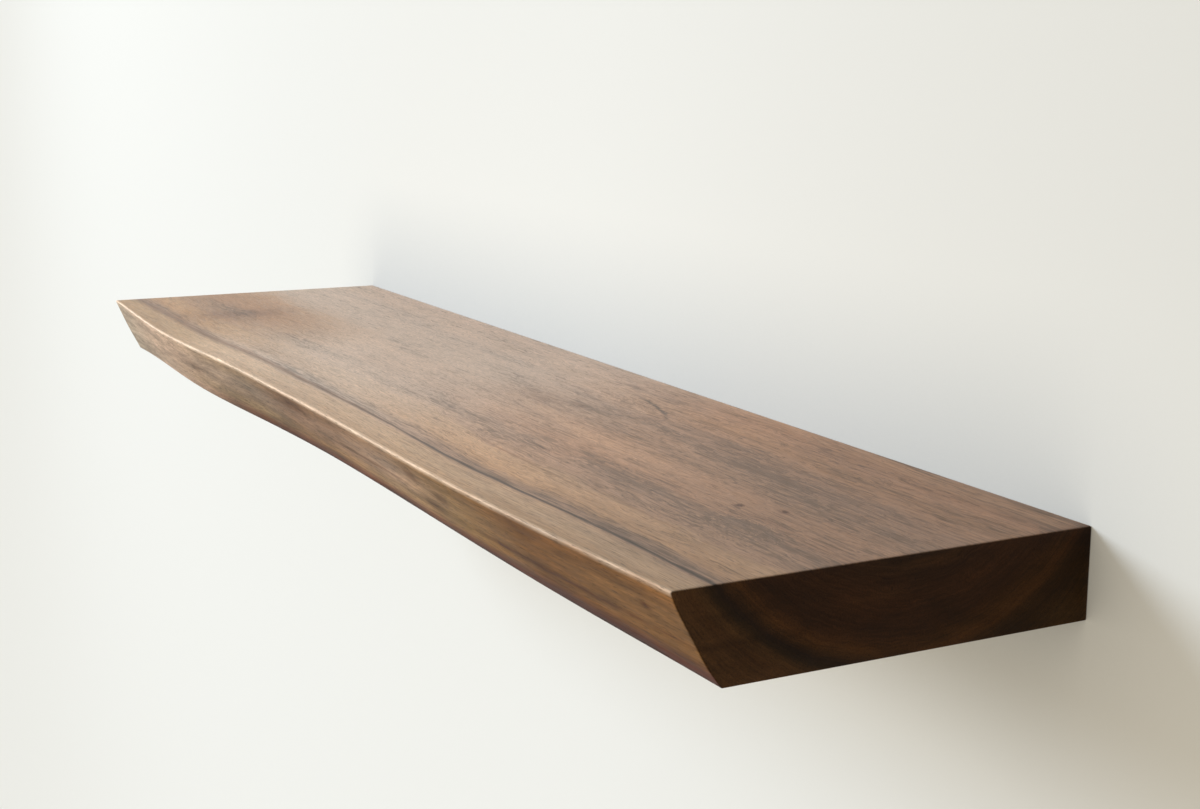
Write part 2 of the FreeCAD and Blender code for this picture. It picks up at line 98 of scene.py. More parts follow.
def linear(hex_colour: str) -> tuple[float, float, float, float]:
    """Turn an sRGB hex colour into the linear one that Blender's sockets hold.

    Args:
        hex_colour: Six hex digits, such as "A07850".

    Returns:
        Red, green, blue and an opacity of one.
    """
    shares = [int(hex_colour[i : i + 2], 16) / 255.0 for i in (0, 2, 4)]
    red, green, blue = [s / 12.92 if s <= 0.04045 else ((s + 0.055) / 1.055) ** 2.4 for s in shares]
    return red, green, blue, 1.0


def smooth_step(share: np.ndarray) -> np.ndarray:
    """Ease a share of 0 to 1 in and out."""
    clipped = np.clip(share, 0.0, 1.0)
    return clipped * clipped * (3.0 - 2.0 * clipped)


def spline_through(knots: np.ndarray, values: np.ndarray, at: np.ndarray) -> np.ndarray:
    """Follow a natural cubic spline through known points.

    Args:
        knots: Rising places of the known points.
        values: Values there.
        at: Places to read, which may lie a little past the ends.

    Returns:
        The spline's value at each place.
    """
    gaps = np.diff(knots)
    slopes = np.diff(values) / gaps
    count = len(knots)
    matrix = np.eye(count)
    target = np.zeros(count)
    for row in range(1, count - 1):
        matrix[row, row - 1] = gaps[row - 1]
        matrix[row, row] = 2.0 * (gaps[row - 1] + gaps[row])
        matrix[row, row + 1] = gaps[row]
        target[row] = 6.0 * (slopes[row] - slopes[row - 1])
    bends = np.linalg.solve(matrix, target)
    cell = np.clip(np.searchsorted(knots, at) - 1, 0, count - 2)
    gap = gaps[cell]
    left = (knots[cell + 1] - at) / gap
    right = (at - knots[cell]) / gap
    curve = left * values[cell] + right * values[cell + 1]
    curve += ((left**3 - left) * bends[cell] + (right**3 - right) * bends[cell + 1]) * gap**2 / 6.0
    return curve


def placed(name: str, data: bpy.types.ID) -> Piece:
    """Put a mesh, lamp or camera into the scene as an object."""
    made = bpy.data.objects.new(name, data)
    bpy.context.scene.collection.objects.link(made)
    return made


def middle(node: str) -> tuple[float, ...]:
    """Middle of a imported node, in millimetres."""
    low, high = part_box(node)
    return tuple((low[i] + high[i]) / 2.0 / MM for i in range(3))


def upright(outline: np.ndarray, y: float) -> np.ndarray:
    """Stand an outline up at a distance from the wall, as a ring for skin()."""
    return np.column_stack([outline[:, 0], np.full(len(outline), y), outline[:, 1]])


def even_rows(radius: float, start: float, length: float, count: int) -> list[tuple[float, float]]:
    """Evenly spaced rows of one radius, for a turned profile."""
    return [(start + length * row / count, radius) for row in range(count + 1)]


def screw_grid() -> list[tuple[int, float, tuple[float, float]]]:
    """Column, row and place of each wall screw."""
    grid = [(column, row) for column in (-1, 0, 1) for row in (-0.5, 0.5)]
    return [(column, row, (column * SCREW_PITCH, row * SCREW_SPACING)) for column, row in grid]


def skin(name: str, rings: np.ndarray, closed: bool = False) -> Piece:
    """Stretch a closed skin over a row of rings.

    Args:
        name: Name of the piece.
        rings: Array of rings by points by three coordinates, in millimetres.
        closed: True if the last ring joins the first; otherwise both ends are capped.

    Returns:
        The new object, in metres, with its faces turned outwards.
    """
    count, around = rings.shape[:2]
    faces = []
    for ring in range(count if closed else count - 1):
        low, high = ring * around, (ring + 1) % count * around
        for point in range(around):
            following = (point + 1) % around
            faces.append((low + point, low + following, high + following, high + point))
    if not closed:
        faces.append(tuple(range(around - 1, -1, -1)))
        faces.append(tuple(range((count - 1) * around, count * around)))
    mesh = bpy.data.meshes.new(name)
    mesh.from_pydata((rings.reshape(-1, 3) * MM).tolist(), [], faces)
    work = bmesh.new()
    work.from_mesh(mesh)
    bmesh.ops.recalc_face_normals(work, faces=work.faces)
    work.to_mesh(mesh)
    work.free()
    return placed(name, mesh)


def turned(
    profile: Sequence[tuple[float, float]],
    axis: Axis,
    centre: tuple[float, float],
    around: int,
    swell: Callable[[np.ndarray, float, float], np.ndarray] | None = None,
) -> np.ndarray:
    """Turn a profile about an axis.

    Args:
        profile: Pairs of distance along the axis and radius, in millimetres.
        axis: The axis that it is turned about.
        centre: Where the axis stands, in the two directions across it.
        around: Points in each ring.
        swell: Gives the radii round one ring from the angles, the distance along and the radius.

    Returns:
        Rings for skin().
    """
    angles = np.arange(around) * TAU / around
    along_axis, first, second = axis.value
    rings = np.zeros((len(profile), around, 3))
    for ring, (along, radius) in enumerate(profile):
        radii = swell(angles, along, radius) if swell else np.full(around, radius)
        rings[ring, :, along_axis] = along
        rings[ring, :, first] = centre[0] + radii * np.cos(angles)
        rings[ring, :, second] = centre[1] + radii * np.sin(angles)
    return rings


def rounded_rectangle(width: float, height: float, radius: float, steps: int) -> np.ndarray:
    """Outline of a rectangle with round corners about the origin.

    Args:
        width: Size across, in millimetres.
        height: Size up.
        radius: Corner radius.
        steps: Straight pieces in each corner.

    Returns:
        Array of points by two coordinates, anticlockwise.
    """
    points = []
    for turn, (side_x, side_y) in enumerate(((1, 1), (-1, 1), (-1, -1), (1, -1))):
        for step in range(steps + 1):
            angle = (turn + step / steps) * TAU / 4.0
            across = side_x * (width / 2.0 - radius) + radius * math.cos(angle)
            up = side_y * (height / 2.0 - radius) + radius * math.sin(angle)
            points.append((across, up))
    return np.array(points)


def join(name: str, pieces: Sequence[Piece]) -> Piece:
    """Join pieces that don't touch into one object.

    Args:
        name: Name of the joined piece.
        pieces: The pieces, which are used up.

    Returns:
        The joined object.
    """
    work = bmesh.new()
    for piece in pieces:
        work.from_mesh(piece.data)
        bpy.data.objects.remove(piece)
    mesh = bpy.data.meshes.new(name)
    work.to_mesh(mesh)
    work.free()
    return placed(name, mesh)


def cut(piece: Piece, cutter: Piece) -> None:
    """Cut a solid out of a piece, and delete the solid.

    Args:
        piece: The piece that loses material.
        cutter: The closed solid that is taken away.
    """
    step = piece.modifiers.new("cut", "BOOLEAN")
    step.operation = "DIFFERENCE"
    step.solver = "EXACT"
    step.object = cutter
    graph = bpy.context.evaluated_depsgraph_get()
    made = bpy.data.meshes.new_from_object(piece.evaluated_get(graph))
    piece.modifiers.clear()
    piece.data = made
    bpy.data.objects.remove(cutter)


def smooth(piece: Piece, sharp_degrees: float) -> None:
    """Shade a piece smooth, apart from edges that turn more than an angle in degrees."""
    piece.data.shade_smooth()
    piece.data.set_sharp_from_angle(angle=math.radians(sharp_degrees))


def fit(piece: Piece, body: Body, slot: Slot, material: Finish, *nodes: str) -> Piece:
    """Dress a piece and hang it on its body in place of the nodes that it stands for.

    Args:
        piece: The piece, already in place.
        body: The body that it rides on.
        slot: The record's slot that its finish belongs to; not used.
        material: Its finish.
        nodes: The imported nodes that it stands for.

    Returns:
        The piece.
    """
    piece.data.materials.clear()
    piece.data.materials.append(material)
    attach(piece, body.value)
    if nodes:
        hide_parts(*nodes)
    log.info("%s: %d faces, rides on %s", piece.name, len(piece.data.polygons), body.value)
    return piece


# ---------------------------------------------------------------- finishes


class Graph:
    """The nodes of one material or world, each known by a name."""

    def __init__(self, owner: Finish | bpy.types.World) -> None:
        """Start with no nodes.

        Args:
            owner: The material or world that they belong to.
        """
        self.owner = owner
        owner.use_nodes = True
        self.tree = owner.node_tree
        self.tree.nodes.clear()

    def add(self, name: str, kind: str, *values: object, **more: object) -> None:
        """Add a node with its settings and links.

        Args:
            name: What other nodes call it.
            kind: Blender's name of the node, without the words ShaderNode, and after a point its
                operation, or for a Mix node FLOAT or the way it blends two colours.
            values: What its sockets hold, in order: plain values, or a node's name and, after a
                point, the name or number of its output when that isn't the first.
            more: Other sockets, which start with a capital, and settings, which don't; "stops"
                fills a colour ramp and "points" a curve.
        """
        kind, _, word = kind.partition(".")
        made = self.tree.nodes.new("ShaderNode" + kind)
        made.name = name
        sockets: Sequence[int] = range(len(values))
        if kind == "Mix" and word == "FLOAT":
            sockets = FLOAT_MIX
        elif kind == "Mix":
            made.data_type, made.blend_type, sockets = "RGBA", word, COLOUR_MIX
        elif word:
            made.operation = word
        inputs: dict[int | str, object] = dict(zip(sockets, values))
        for key, value in more.items():
            if key == "stops":
                ramp = made.color_ramp
                while len(ramp.elements) < len(value):
                    ramp.elements.new(1.0)
                for element, (place, colour) in zip(ramp.elements, value):
                    element.position = place
                    element.color = linear(colour) if isinstance(colour, str) else (colour,) * 3 + (1.0,)
            elif key == "points":
                curve = made.mapping.curves[0]
                while len(curve.points) < len(value):
                    curve.points.new(1.0, 1.0)
                for point, place in zip(curve.points, value):
                    point.location = place
                made.mapping.update()
            elif key[0].isupper():
                inputs[key] = value
            else:
                setattr(made, key, value)
        for key, value in inputs.items():
            if isinstance(value, str):
                source, _, output = value.partition(".")
                which = int(output) if output.isdigit() else output or 0
                self.tree.links.new(self.tree.nodes[source].outputs[which], made.inputs[key])
            else:
                made.inputs[key].default_value = value


@dataclass(frozen=True)
class Spot:
    """A knot, stain or cluster of streaks with ragged edges. Places and sizes are in millimetres."""

    x: float
    y: float
    z: float
    long: float
    wide: float
    tall: float
    lift: float = 0.0  # how far it pushes the growth rings aside
    dark: float = 0.0  # share by which it darkens the wood; below zero it lightens it
    streaks: float = 0.0  # how much thicker the dark streaks lie in it


@dataclass(frozen=True)
class Crook:
    """A dark growth line on the top face that turns back round an old branch.

    It is a parabola lying along the board, and it fades out away from its middle.
    """

    tip: tuple[float, float] = (222.0, -68.0)
    bend: float = 0.107  # mm back from the tip for each square mm to its side
    thick: float = 1.7
    middle: tuple[float, float] = (178.0, -53.0)
    span: tuple[float, float] = (52.0, 24.0)
    dark: float = 0.72


@dataclass(frozen=True)
class Lumps:
    """One noise of the figure, by the size of its lumps in millimetres."""

    name: str
    sizes: Triple
    finer: float  # layers of finer lumps inside them


@dataclass(frozen=True)
class OiledWalnut:
    """Black walnut, planed, sanded and oiled.

    Oil leaves the pores open and the surface matt head-on with a sheen at a low angle. The eye
    gets warm brown heartwood, clusters of fine grey-brown streaks, short dark pores, a pale strip
    of sapwood along the live edge with a dark line beside it, a browner sanded live edge, and end
    grain that drinks the oil and goes much darker. Light is painted in as well: a paler left half
    and live edge for the sheen and stronger light there, painted shade towards the right-hand end,
    at the foot of the live edge, in the end's corner by the wall and in the dark end grain, and a
    painted highlight along the live edge's upper arris.
    """

    name: str = "oiled_walnut"
    board_long: float = 1100.0
    board_thick: float = 50.0
    pith: tuple[float, float] = (-112.0, 105.0)  # the heart of the log, above the board
    sap_radius: float = 134.7  # from the pith to the sapwood at the right-hand end
    # where the sapwood starts on the top face, as (share of the length, distance from the wall)
    sap_line: Pairs = (
        (0.0, 220.4), (0.10, 222.6), (0.20, 229.0), (0.24, 231.3), (0.37, 230.9), (0.56, 234.6),
        (0.67, 239.0), (0.73, 244.5), (0.84, 246.3), (1.0, 248.0),
    )
    # noises that lie in the board: along it, across it and up
    lying: tuple[Lumps, ...] = (
        Lumps("ragged", (16.0, 8.0, 8.0), 2.0),
        Lumps("wander", (300.0, 55.0, 55.0), 2.0),  # the trunk isn't straight
        Lumps("ripple", (50.0, 12.0, 12.0), 2.0),
        Lumps("mottle", (76.0, 34.0, 9.0), 2.5),
    )
    # noises that follow the grain: along it, out from the pith and round it
    growing: tuple[Lumps, ...] = (
        Lumps("cloud", (130.0, 11.0, 20.0), 4.0),
        Lumps("streak", (38.0, 1.4, 2.0), 4.0),
        Lumps("fibre", (24.0, 0.7, 0.9), 2.0),
        Lumps("pores", (9.0, 0.6, 0.6), 1.0),
    )
    ring_range: tuple[float, float] = (75.0, 160.0)
    # colour against the distance from the pith in mm, on the side towards the live edge
    front_rings: Colours = (
        (78.0, "AC8466"), (88.0, "A98164"), (94.0, "A8846A"), (105.0, "AE896D"), (110.0, "BC9674"),
        (124.0, "B9906B"), (130.0, "A27F65"), (135.6, "A8856C"), (137.6, "B69576"), (146.0, "BC9B7A"),
        (152.0, "B3906E"),
    )
    # and on the side towards the wall
    rear_rings: Colours = (
        (78.0, "A37F64"), (88.0, "9E7A60"), (94.0, "A88062"), (102.0, "A37A59"), (112.0, "A97F60"),
        (120.0, "9F7657"), (128.0, "AB8363"), (136.0, "A07B5D"), (152.0, "987257"),
    )
    # the same on end grain, where the oil sinks in, made darker still by painted shade
    front_end_rings: Colours = (
        (78.0, "3E2714"), (86.0, "51331A"), (91.0, "452914"), (103.0, "4E2E16"), (116.0, "452812"),
        (121.0, "4F2F16"), (126.0, "69411E"), (130.5, "513317"), (134.0, "342010"), (137.5, "3C2813"),
        (142.0, "6B4826"), (147.0, "634021"), (154.0, "6F4A28"),
    )
    rear_end_rings: Colours = (
        (78.0, "3E2714"), (86.0, "51331A"), (91.0, "452914"), (103.0, "4E2E16"), (117.0, "452812"),
        (126.0, "573618"), (131.0, "653F1E"), (136.0, "472D14"), (142.0, "3F2710"), (150.0, "4B3117"),
        (158.0, "5B3D1E"),
    )
    # how thickly the dark streaks lie by that distance, from 0 to 1, in front and behind
    front_streaks: Pairs = (
        (78.0, 0.30), (87.0, 0.28), (90.0, 0.43), (97.0, 0.38), (104.0, 0.34), (110.0, 0.18),
        (125.0, 0.24), (129.0, 0.52), (135.2, 0.60), (137.0, 0.10), (152.0, 0.06),
    )
    rear_streaks: Pairs = (
        (78.0, 0.34), (84.0, 0.38), (97.0, 0.34), (110.0, 0.38), (124.0, 0.30), (134.0, 0.40),
        (152.0, 0.40),
    )
    streak_tint: str = "C6CACD"  # what a streak leaves of the wood's own colour
    sap_line_colour: str = "38291E"
    sap_line_left: str = "6F4B30"
    # the sanded live edge, by place along the board in mm: its own colour, with painted light and sheen
    # that make it paler and greyer towards the left
    edge_colours_and_sheen: Colours = (
        (-550.0, "A2927E"), (-400.0, "B19780"), (-300.0, "B59981"), (-200.0, "AD957E"),
        (-100.0, "9A8772"), (0.0, "92745B"), (100.0, "A28369"), (200.0, "B0947B"), (300.0, "A38257"),
        (400.0, "885D2F"), (500.0, "AD7E4A"),
    )
    # painted shade: what the live edge keeps of those colours from its foot, darkest, to its top, by
    # height in mm
    painted_edge_shade: Colours = (
        (-25.0, "633614"), (-20.0, "A26028"), (-10.0, "EDE1C3"), (0.0, "E3DDD8"), (10.0, "E2DEDD"),
        (20.0, "E5D6C3"),
    )
    painted_sheen_colour: str = "CBBBAB"  # painted light and sheen: the paler heartwood of the left half
    painted_sheen_share: float = 0.52
    warm_tint: str = "E8E0CC"  # what the warm front corner of the paler left half, which is spared most of the painted sheen, is multiplied by
    # a painted highlight along the live edge's upper arris
    highlight_colour: str = "DCC2A6"
    spot_loss: Triple = (0.86, 1.05, 1.20)
    knot_colour: str = "4A2A18"
    spots: tuple[Spot, ...] = (
        # two pin knots, and the swirl of grain beside them
        Spot(434, -137, 25, 2.9, 2.4, 6, lift=2, dark=1.0),
        Spot(457, -123.5, 25, 3.3, 2.2, 6, lift=2, dark=1.0),
        Spot(478, -158, 25, 25, 15, 15, lift=8, dark=0.05, streaks=0.10),
        Spot(468, -140, 25, 16, 2.0, 6, dark=0.20),
        # the old branch, the pale wood inside it and the smudges below it
        Spot(165, -62, 25, 48, 13, 13, lift=9),
        Spot(180, -66, 25, 30, 8, 8, dark=-0.10),
        Spot(214, -74, 25, 13, 8, 8, lift=-5, dark=0.12),
        Spot(154, -92, 25, 13, 3, 6, dark=0.34),
        Spot(104, -102, 25, 42, 14, 10, dark=0.24),
        # clusters of streaks
        Spot(205, -64, 25, 90, 24, 16, streaks=0.20),
        Spot(352, -90, 25, 76, 17, 14, streaks=0.30),
        Spot(210, -176, 25, 80, 12, 12, streaks=0.16),
        Spot(330, -158, 25, 60, 11, 12, streaks=0.22),
        Spot(440, -152, 25, 76, 16, 16, streaks=0.30),
        Spot(20, -178, 25, 110, 14, 12, streaks=0.08),
        Spot(280, -132, 25, 90, 13, 12, dark=-0.18),
        Spot(-190, -152, 25, 60, 26, 12, dark=-0.12),
        Spot(-165, -218, 25, 110, 15, 8, dark=0.26),
        # thin dark lines between the last cluster and the sapwood
        Spot(258, -195.5, 25, 46, 1.1, 3, dark=0.40),
        Spot(342, -195.5, 25, 60, 0.9, 3, dark=0.26),
        Spot(430, -189.5, 25, 60, 1.0, 3, dark=0.34),
        Spot(262, -171.5, 25, 18, 1.2, 3, dark=0.40),
        # the stain at the far end
        Spot(-396, -178, 25, 26, 38, 36, lift=5, dark=0.44),
        Spot(-400, -208, 25, 44, 16, 14, dark=0.22),
        # blotches and long lines on the live edge
        Spot(245, -250, 12.5, 11, 60, 4.4, dark=0.56),
        Spot(255, -250, -4, 14, 60, 4.0, dark=0.58),
        Spot(283, -250, 7, 12, 60, 4.0, dark=0.52),
        Spot(516, -240, 8.5, 5, 60, 2.2, dark=0.72),
        Spot(435, -245, -4.5, 105, 80, 1.8, dark=0.60),
        Spot(350, -245, -5, 26, 60, 2.6, dark=0.34),
        Spot(470, -240, -14, 60, 40, 4, dark=0.20),
        Spot(148, -255, 2, 62, 80, 1.6, dark=0.50),
        Spot(20, -255, 17, 28, 60, 5, dark=0.50),
        Spot(-250, -265, 2.5, 14, 40, 4.5, dark=0.30),
        Spot(-110, -262, -4, 48, 60, 9, dark=0.26),
        # a paler band along the top of the live edge towards the left: painted sheen
        Spot(-200, -262, 21, 150, 60, 7, dark=-0.26),
        Spot(-20, -255, 14, 60, 40, 3, dark=0.22),
        # on the right-hand end: painted shade in the corner by the wall, and paler wood below it
        Spot(550, -3, 24, 7, 20, 13, dark=0.45),
        Spot(550, -16, -20, 7, 18, 7, dark=-0.35),
        Spot(550, -128, 7, 7, 15, 2.2, dark=-0.40),
    )
    crook: Crook = Crook()
    raggedness: float = 1.7  # how far a spot's outline strays, in shares of its size
    fleck_sizes: Triple = (900.0, 1.0, 16.0)
    roughness: float = 0.34
    end_roughness: float = 0.24  # what open end grain adds to it
    edge_roughness: float = 0.22  # and what the sanded live edge adds
    shine: float = 0.12  # of a varnish's mirror, head-on

    def material(self) -> Finish:
        """Make the finish.

        Returns:
            The material, in the board's own space, so that it moves with the board.
        """
        graph = Graph(bpy.data.materials.new(self.name))
        self._place(graph)
        self._noises(graph, "mm", self.lying)
        self._spots(graph)
        self._rings(graph)
        self._noises(graph, "grain", self.growing)
        self._heartwood(graph)
        self._sheen_left_half(graph)
        self._streaks(graph)
        self._sap_line(graph)
        self._live_edge(graph)
        self._end_grain(graph)
        self._tones(graph)
        self._surface(graph)
        return graph.owner

    def pith_to(self, depth: float) -> float:
        """Distance from the pith to the top face at a distance from the wall."""
        return math.hypot(depth + self.pith[0], self.pith[1] - self.board_thick / 2.0)

    def _place(self, graph: Graph) -> None:
        """Work out where a point lies in the log: along it, out from the pith, and round it.

        Args:
            graph: The material's nodes.
        """
        graph.add("coord", "TexCoord")
        graph.add("mm", "VectorMath.SCALE", "coord.Object", Scale=1.0 / MM)
        graph.add("at", "SeparateXYZ", "mm")
        graph.add("facing", "SeparateXYZ", "coord.Normal")
        graph.add("across", "Math.SUBTRACT", "at.Y", self.pith[0])
        graph.add("up", "Math.SUBTRACT", "at.Z", self.pith[1])
        graph.add("across_up", "CombineXYZ", "across", "up")
        graph.add("out", "VectorMath.LENGTH", "across_up")
        graph.add("round", "Math.ARCTAN2", "across", "up")
        graph.add("arc", "Math.MULTIPLY", "round", 100.0)
        # the trunk tapers as the sap line does, so its rings are counted against that line
        half = self.board_long / 2.0
        graph.add("share", "MapRange", "at.X", half, -half)
        widest = self.pith_to(self.sap_line[-1][1])
        points = [(s, self.pith_to(y) / widest) for s, y in self.sap_line]
        graph.add("taper", "FloatCurve", Value="share", points=points)
        graph.add("even", "Math.DIVIDE", "out.Value", "taper")
        graph.add("ring", "Math.MULTIPLY", "even", self.sap_radius / widest)
        graph.add("front_side", "MapRange", "across", 14.0, -14.0, **EASED)

    def _noises(self, graph: Graph, place: str, noises: Sequence[Lumps]) -> None:
        """Lay out a set of noises.

        Args:
            graph: The material's nodes.
            place: The node that gives the place they lie in, in millimetres.
            noises: The noises.
        """
        for lumps in noises:
            scale = tuple(1.0 / size for size in lumps.sizes)
            at = lumps.name + "_at"
            graph.add(at, "VectorMath.MULTIPLY", place, scale)
            graph.add(lumps.name, "TexNoise", Vector=at, Scale=1.0, Detail=lumps.finer, Roughness=0.6)

    def _spots(self, graph: Graph) -> None:
        """Add up how far the spots push the rings, darken the wood and thicken the streaks.

        Args:
            graph: The material's nodes.
        """
        graph.add("ragged_mid", "VectorMath.SUBTRACT", "ragged.Color", (0.5, 0.5, 0.5))
        graph.add("stray", "VectorMath.SCALE", "ragged_mid", Scale=self.raggedness)
        so_far: dict[str, str | float] = {"push": 0.0, "dark": 0.0, "thick": 0.0}
        for number, spot in enumerate(self.spots):
            part = {step: f"{step}_{number}" for step in ("from", "rel", "square", "minus", "hump")}
            graph.add(part["from"], "VectorMath.SUBTRACT", "mm", (spot.x, spot.y, spot.z))
            size = (1.0 / spot.long, 1.0 / spot.wide, 1.0 / spot.tall)
            graph.add(part["rel"], "VectorMath.MULTIPLY_ADD", part["from"], size, "stray")
            graph.add(part["square"], "VectorMath.DOT_PRODUCT", part["rel"], part["rel"])
            graph.add(part["minus"], "Math.MULTIPLY", part["square"] + ".Value", -1.0)
            graph.add(part["hump"], "Math.EXPONENT", part["minus"])
            for what, amount in (("push", spot.lift), ("dark", spot.dark), ("thick", spot.streaks)):
                if amount:
                    name = f"{what}_{number}"
                    graph.add(name, "Math.MULTIPLY_ADD", part["hump"], amount, so_far[what])
                    so_far[what] = name
        for what, last in so_far.items():
            graph.add(what, "Math.ADD", last, 0.0)

    def _rings(self, graph: Graph) -> None:
        """Let the growth rings wander, ripple and bend round knots, and lay the grain along them.

        Args:
            graph: The material's nodes.
        """
        graph.add("bent", "Math.ADD", "ring", "push")
        # near the sapwood they hold their line, elsewhere they are free
        graph.add("free", "MapRange", "bent", 118.0, 133.0, 1.0, 0.13)
        graph.add("wander_by", "MapRange", "wander", 0.0, 1.0, -8.0, 8.0, clamp=False)
        graph.add("ripple_by", "MapRange", "ripple", 0.0, 1.0, -6.5, 6.5, clamp=False)
        graph.add("shift", "Math.ADD", "wander_by", "ripple_by")
        graph.add("radius", "Math.MULTIPLY_ADD", "shift", "free", "bent")
        graph.add("grain", "CombineXYZ", "at.X", "radius", "arc")

    def _heartwood(self, graph: Graph) -> None:
        """Colour the growth rings.

        Args:
            graph: The material's nodes.
        """
        low, high = self.ring_range
        graph.add("frayed", "Math.MULTIPLY_ADD", "streak", 4.0, "radius")
        graph.add("scale", "MapRange", "frayed", low + 2.0, high + 2.0)
        # the rings of the end are drawn without most of the ripple
        graph.add("end_radius", "Math.MULTIPLY_ADD", "shift", 0.3, "bent")
        graph.add("end_scale", "MapRange", "end_radius", low, high)
        tables = {
            "front": (self.front_rings, "scale"),
            "rear": (self.rear_rings, "scale"),
            "front_end": (self.front_end_rings, "end_scale"),
            "rear_end": (self.rear_end_rings, "end_scale"),
            "front_zone": (self.front_streaks, "scale"),
            "rear_zone": (self.rear_streaks, "scale"),
        }
        for name, (rings, scale) in tables.items():
            stops = [((radius - low) / (high - low), colour) for radius, colour in rings]
            graph.add(name, "ValToRGB", scale, stops=stops)
        graph.add("base", "Mix.MIX", "front_side", "rear", "front")
        graph.add("end_colour", "Mix.MIX", "front_side", "rear_end", "front_end")
        graph.add("zone", "Mix.FLOAT", "front_side", "rear_zone", "front_zone")

    def _sheen_left_half(self, graph: Graph) -> None:
        """Paint the left half of the heartwood paler, for its sheen and stronger light, but for a warm
        patch at its front.

        Args:
            graph: The material's nodes.
        """
        graph.add("left", "MapRange", "at.X", 290.0, -30.0, **EASED)
        graph.add("far_left", "MapRange", "at.X", -120.0, -400.0, **EASED)
        graph.add("uneven_y", "Math.MULTIPLY_ADD", "cloud", 60.0, "at.Y")
        graph.add("warm_front", "MapRange", "uneven_y", -60.0, -130.0, **EASED)
        graph.add("warm", "Math.MULTIPLY", "far_left", "warm_front")
        graph.add("bleach", "Math.SUBTRACT", "left", "warm")
        graph.add("heart", "MapRange", "radius", 135.0, 139.0, self.painted_sheen_share, 0.15)
        graph.add("bleach_by", "Math.MULTIPLY", "bleach", "heart", use_clamp=True)
        graph.add("faded", "Mix.MIX", "bleach_by", "base.2", linear(self.painted_sheen_colour))
        graph.add("warmed", "Mix.MULTIPLY", "warm", "faded.2", linear(self.warm_tint))

    def _streaks(self, graph: Graph) -> None:
        """Lay clusters of fine dark streaks, which show wherever their noise isn't low.

        Args:
            graph: The material's nodes.
        """
        graph.add("zone_left", "Math.MULTIPLY_ADD", "left", -0.16, "zone")
        graph.add("zone_thick", "Math.ADD", "zone_left", "thick")
        graph.add("zone_by", "Math.MULTIPLY_ADD", "zone_thick", 3.3, -7.1)
        graph.add("clustered", "Math.MULTIPLY_ADD", "cloud", 4.4, "zone_by")
        graph.add("drawn", "Math.MULTIPLY_ADD", "streak", 7.2, "clustered")
        graph.add("dark_streak", "MapRange", "drawn", -0.7, 1.5, **EASED)
        graph.add("streaked", "Mix.MULTIPLY", "dark_streak", "warmed.2", linear(self.streak_tint))

    def _sap_line(self, graph: Graph) -> None:
        """Draw the line where heartwood meets sapwood: blackish, but wide and brown at the left.

        Args:
            graph: The material's nodes.
        """
        graph.add("line_off", "Math.SUBTRACT", "radius", self.sap_radius)
        graph.add("line_frayed", "Math.MULTIPLY_ADD", "streak", 2.0, "line_off")
        graph.add("line_centred", "Math.SUBTRACT", "line_frayed", 1.0)
        graph.add("line_far", "Math.ABSOLUTE", "line_centred")
        graph.add("line_wide", "MapRange", "at.X", -200.0, 150.0, 5.2, 1.4)
        graph.add("line_near", "MapRange", "line_far", 0.3, "line_wide", 1.0, 0.0)
        graph.add("line_reach", "MapRange", "at.X", -260.0, 60.0, 0.75, 0.85)
        graph.add("line_share", "Math.MULTIPLY", "line_near", "line_reach")
        graph.add("line_front", "Math.MULTIPLY", "line_share", "front_side")
        graph.add(
            "line_colour", "Mix.MIX", "left", linear(self.sap_line_colour), linear(self.sap_line_left)
        )
        graph.add("lined", "Mix.MIX", "line_front", "streaked.2", "line_colour.2")

    def _live_edge(self, graph: Graph) -> None:
        """Turn the live edge browner, with its own mottling and painted shade towards its foot, and paint
        a highlight along its upper arris.

        Args:
            graph: The material's nodes.
        """
        half_long, half_thick = self.board_long / 2.0, self.board_thick / 2.0
        stops = [((x + half_long) / self.board_long, colour) for x, colour in self.edge_colours_and_sheen]
        graph.add("along", "Math.SUBTRACT", 1.0, "share")
        graph.add("edge_colour", "ValToRGB", "along", stops=stops)
        stops = [((z + half_thick) / self.board_thick, colour) for z, colour in self.painted_edge_shade]
        graph.add("height_share", "MapRange", "at.Z", -half_thick, half_thick)
        graph.add("shade", "ValToRGB", "height_share", stops=stops)
        white = (1.0, 1.0, 1.0, 1.0)
        # the painted shade at the foot fades out towards the left-hand end
        graph.add("even_foot", "MapRange", "at.X", -100.0, -380.0, **EASED)
        graph.add("shade_here", "Mix.MIX", "even_foot", "shade", white)
        graph.add("shaded", "VectorMath.MULTIPLY", "edge_colour", "shade_here.2")
        graph.add("mottled", "MapRange", "mottle", 0.3, 0.7, 1.36, 0.64, clamp=False)
        graph.add("edge", "VectorMath.SCALE", "shaded", Scale="mottled")
        graph.add("edge_here", "MapRange", "facing.Y", -0.3, -0.6, **EASED)
        graph.add("edged", "Mix.MIX", "edge_here", "lined.2", "edge")
        # painted highlight along the upper arris, from the marks on the mesh
        graph.add("wear", "Attribute", attribute_name="wear")
        graph.add("rubbed", "Mix.MIX", "wear.Fac", "edged.2", linear(self.highlight_colour))

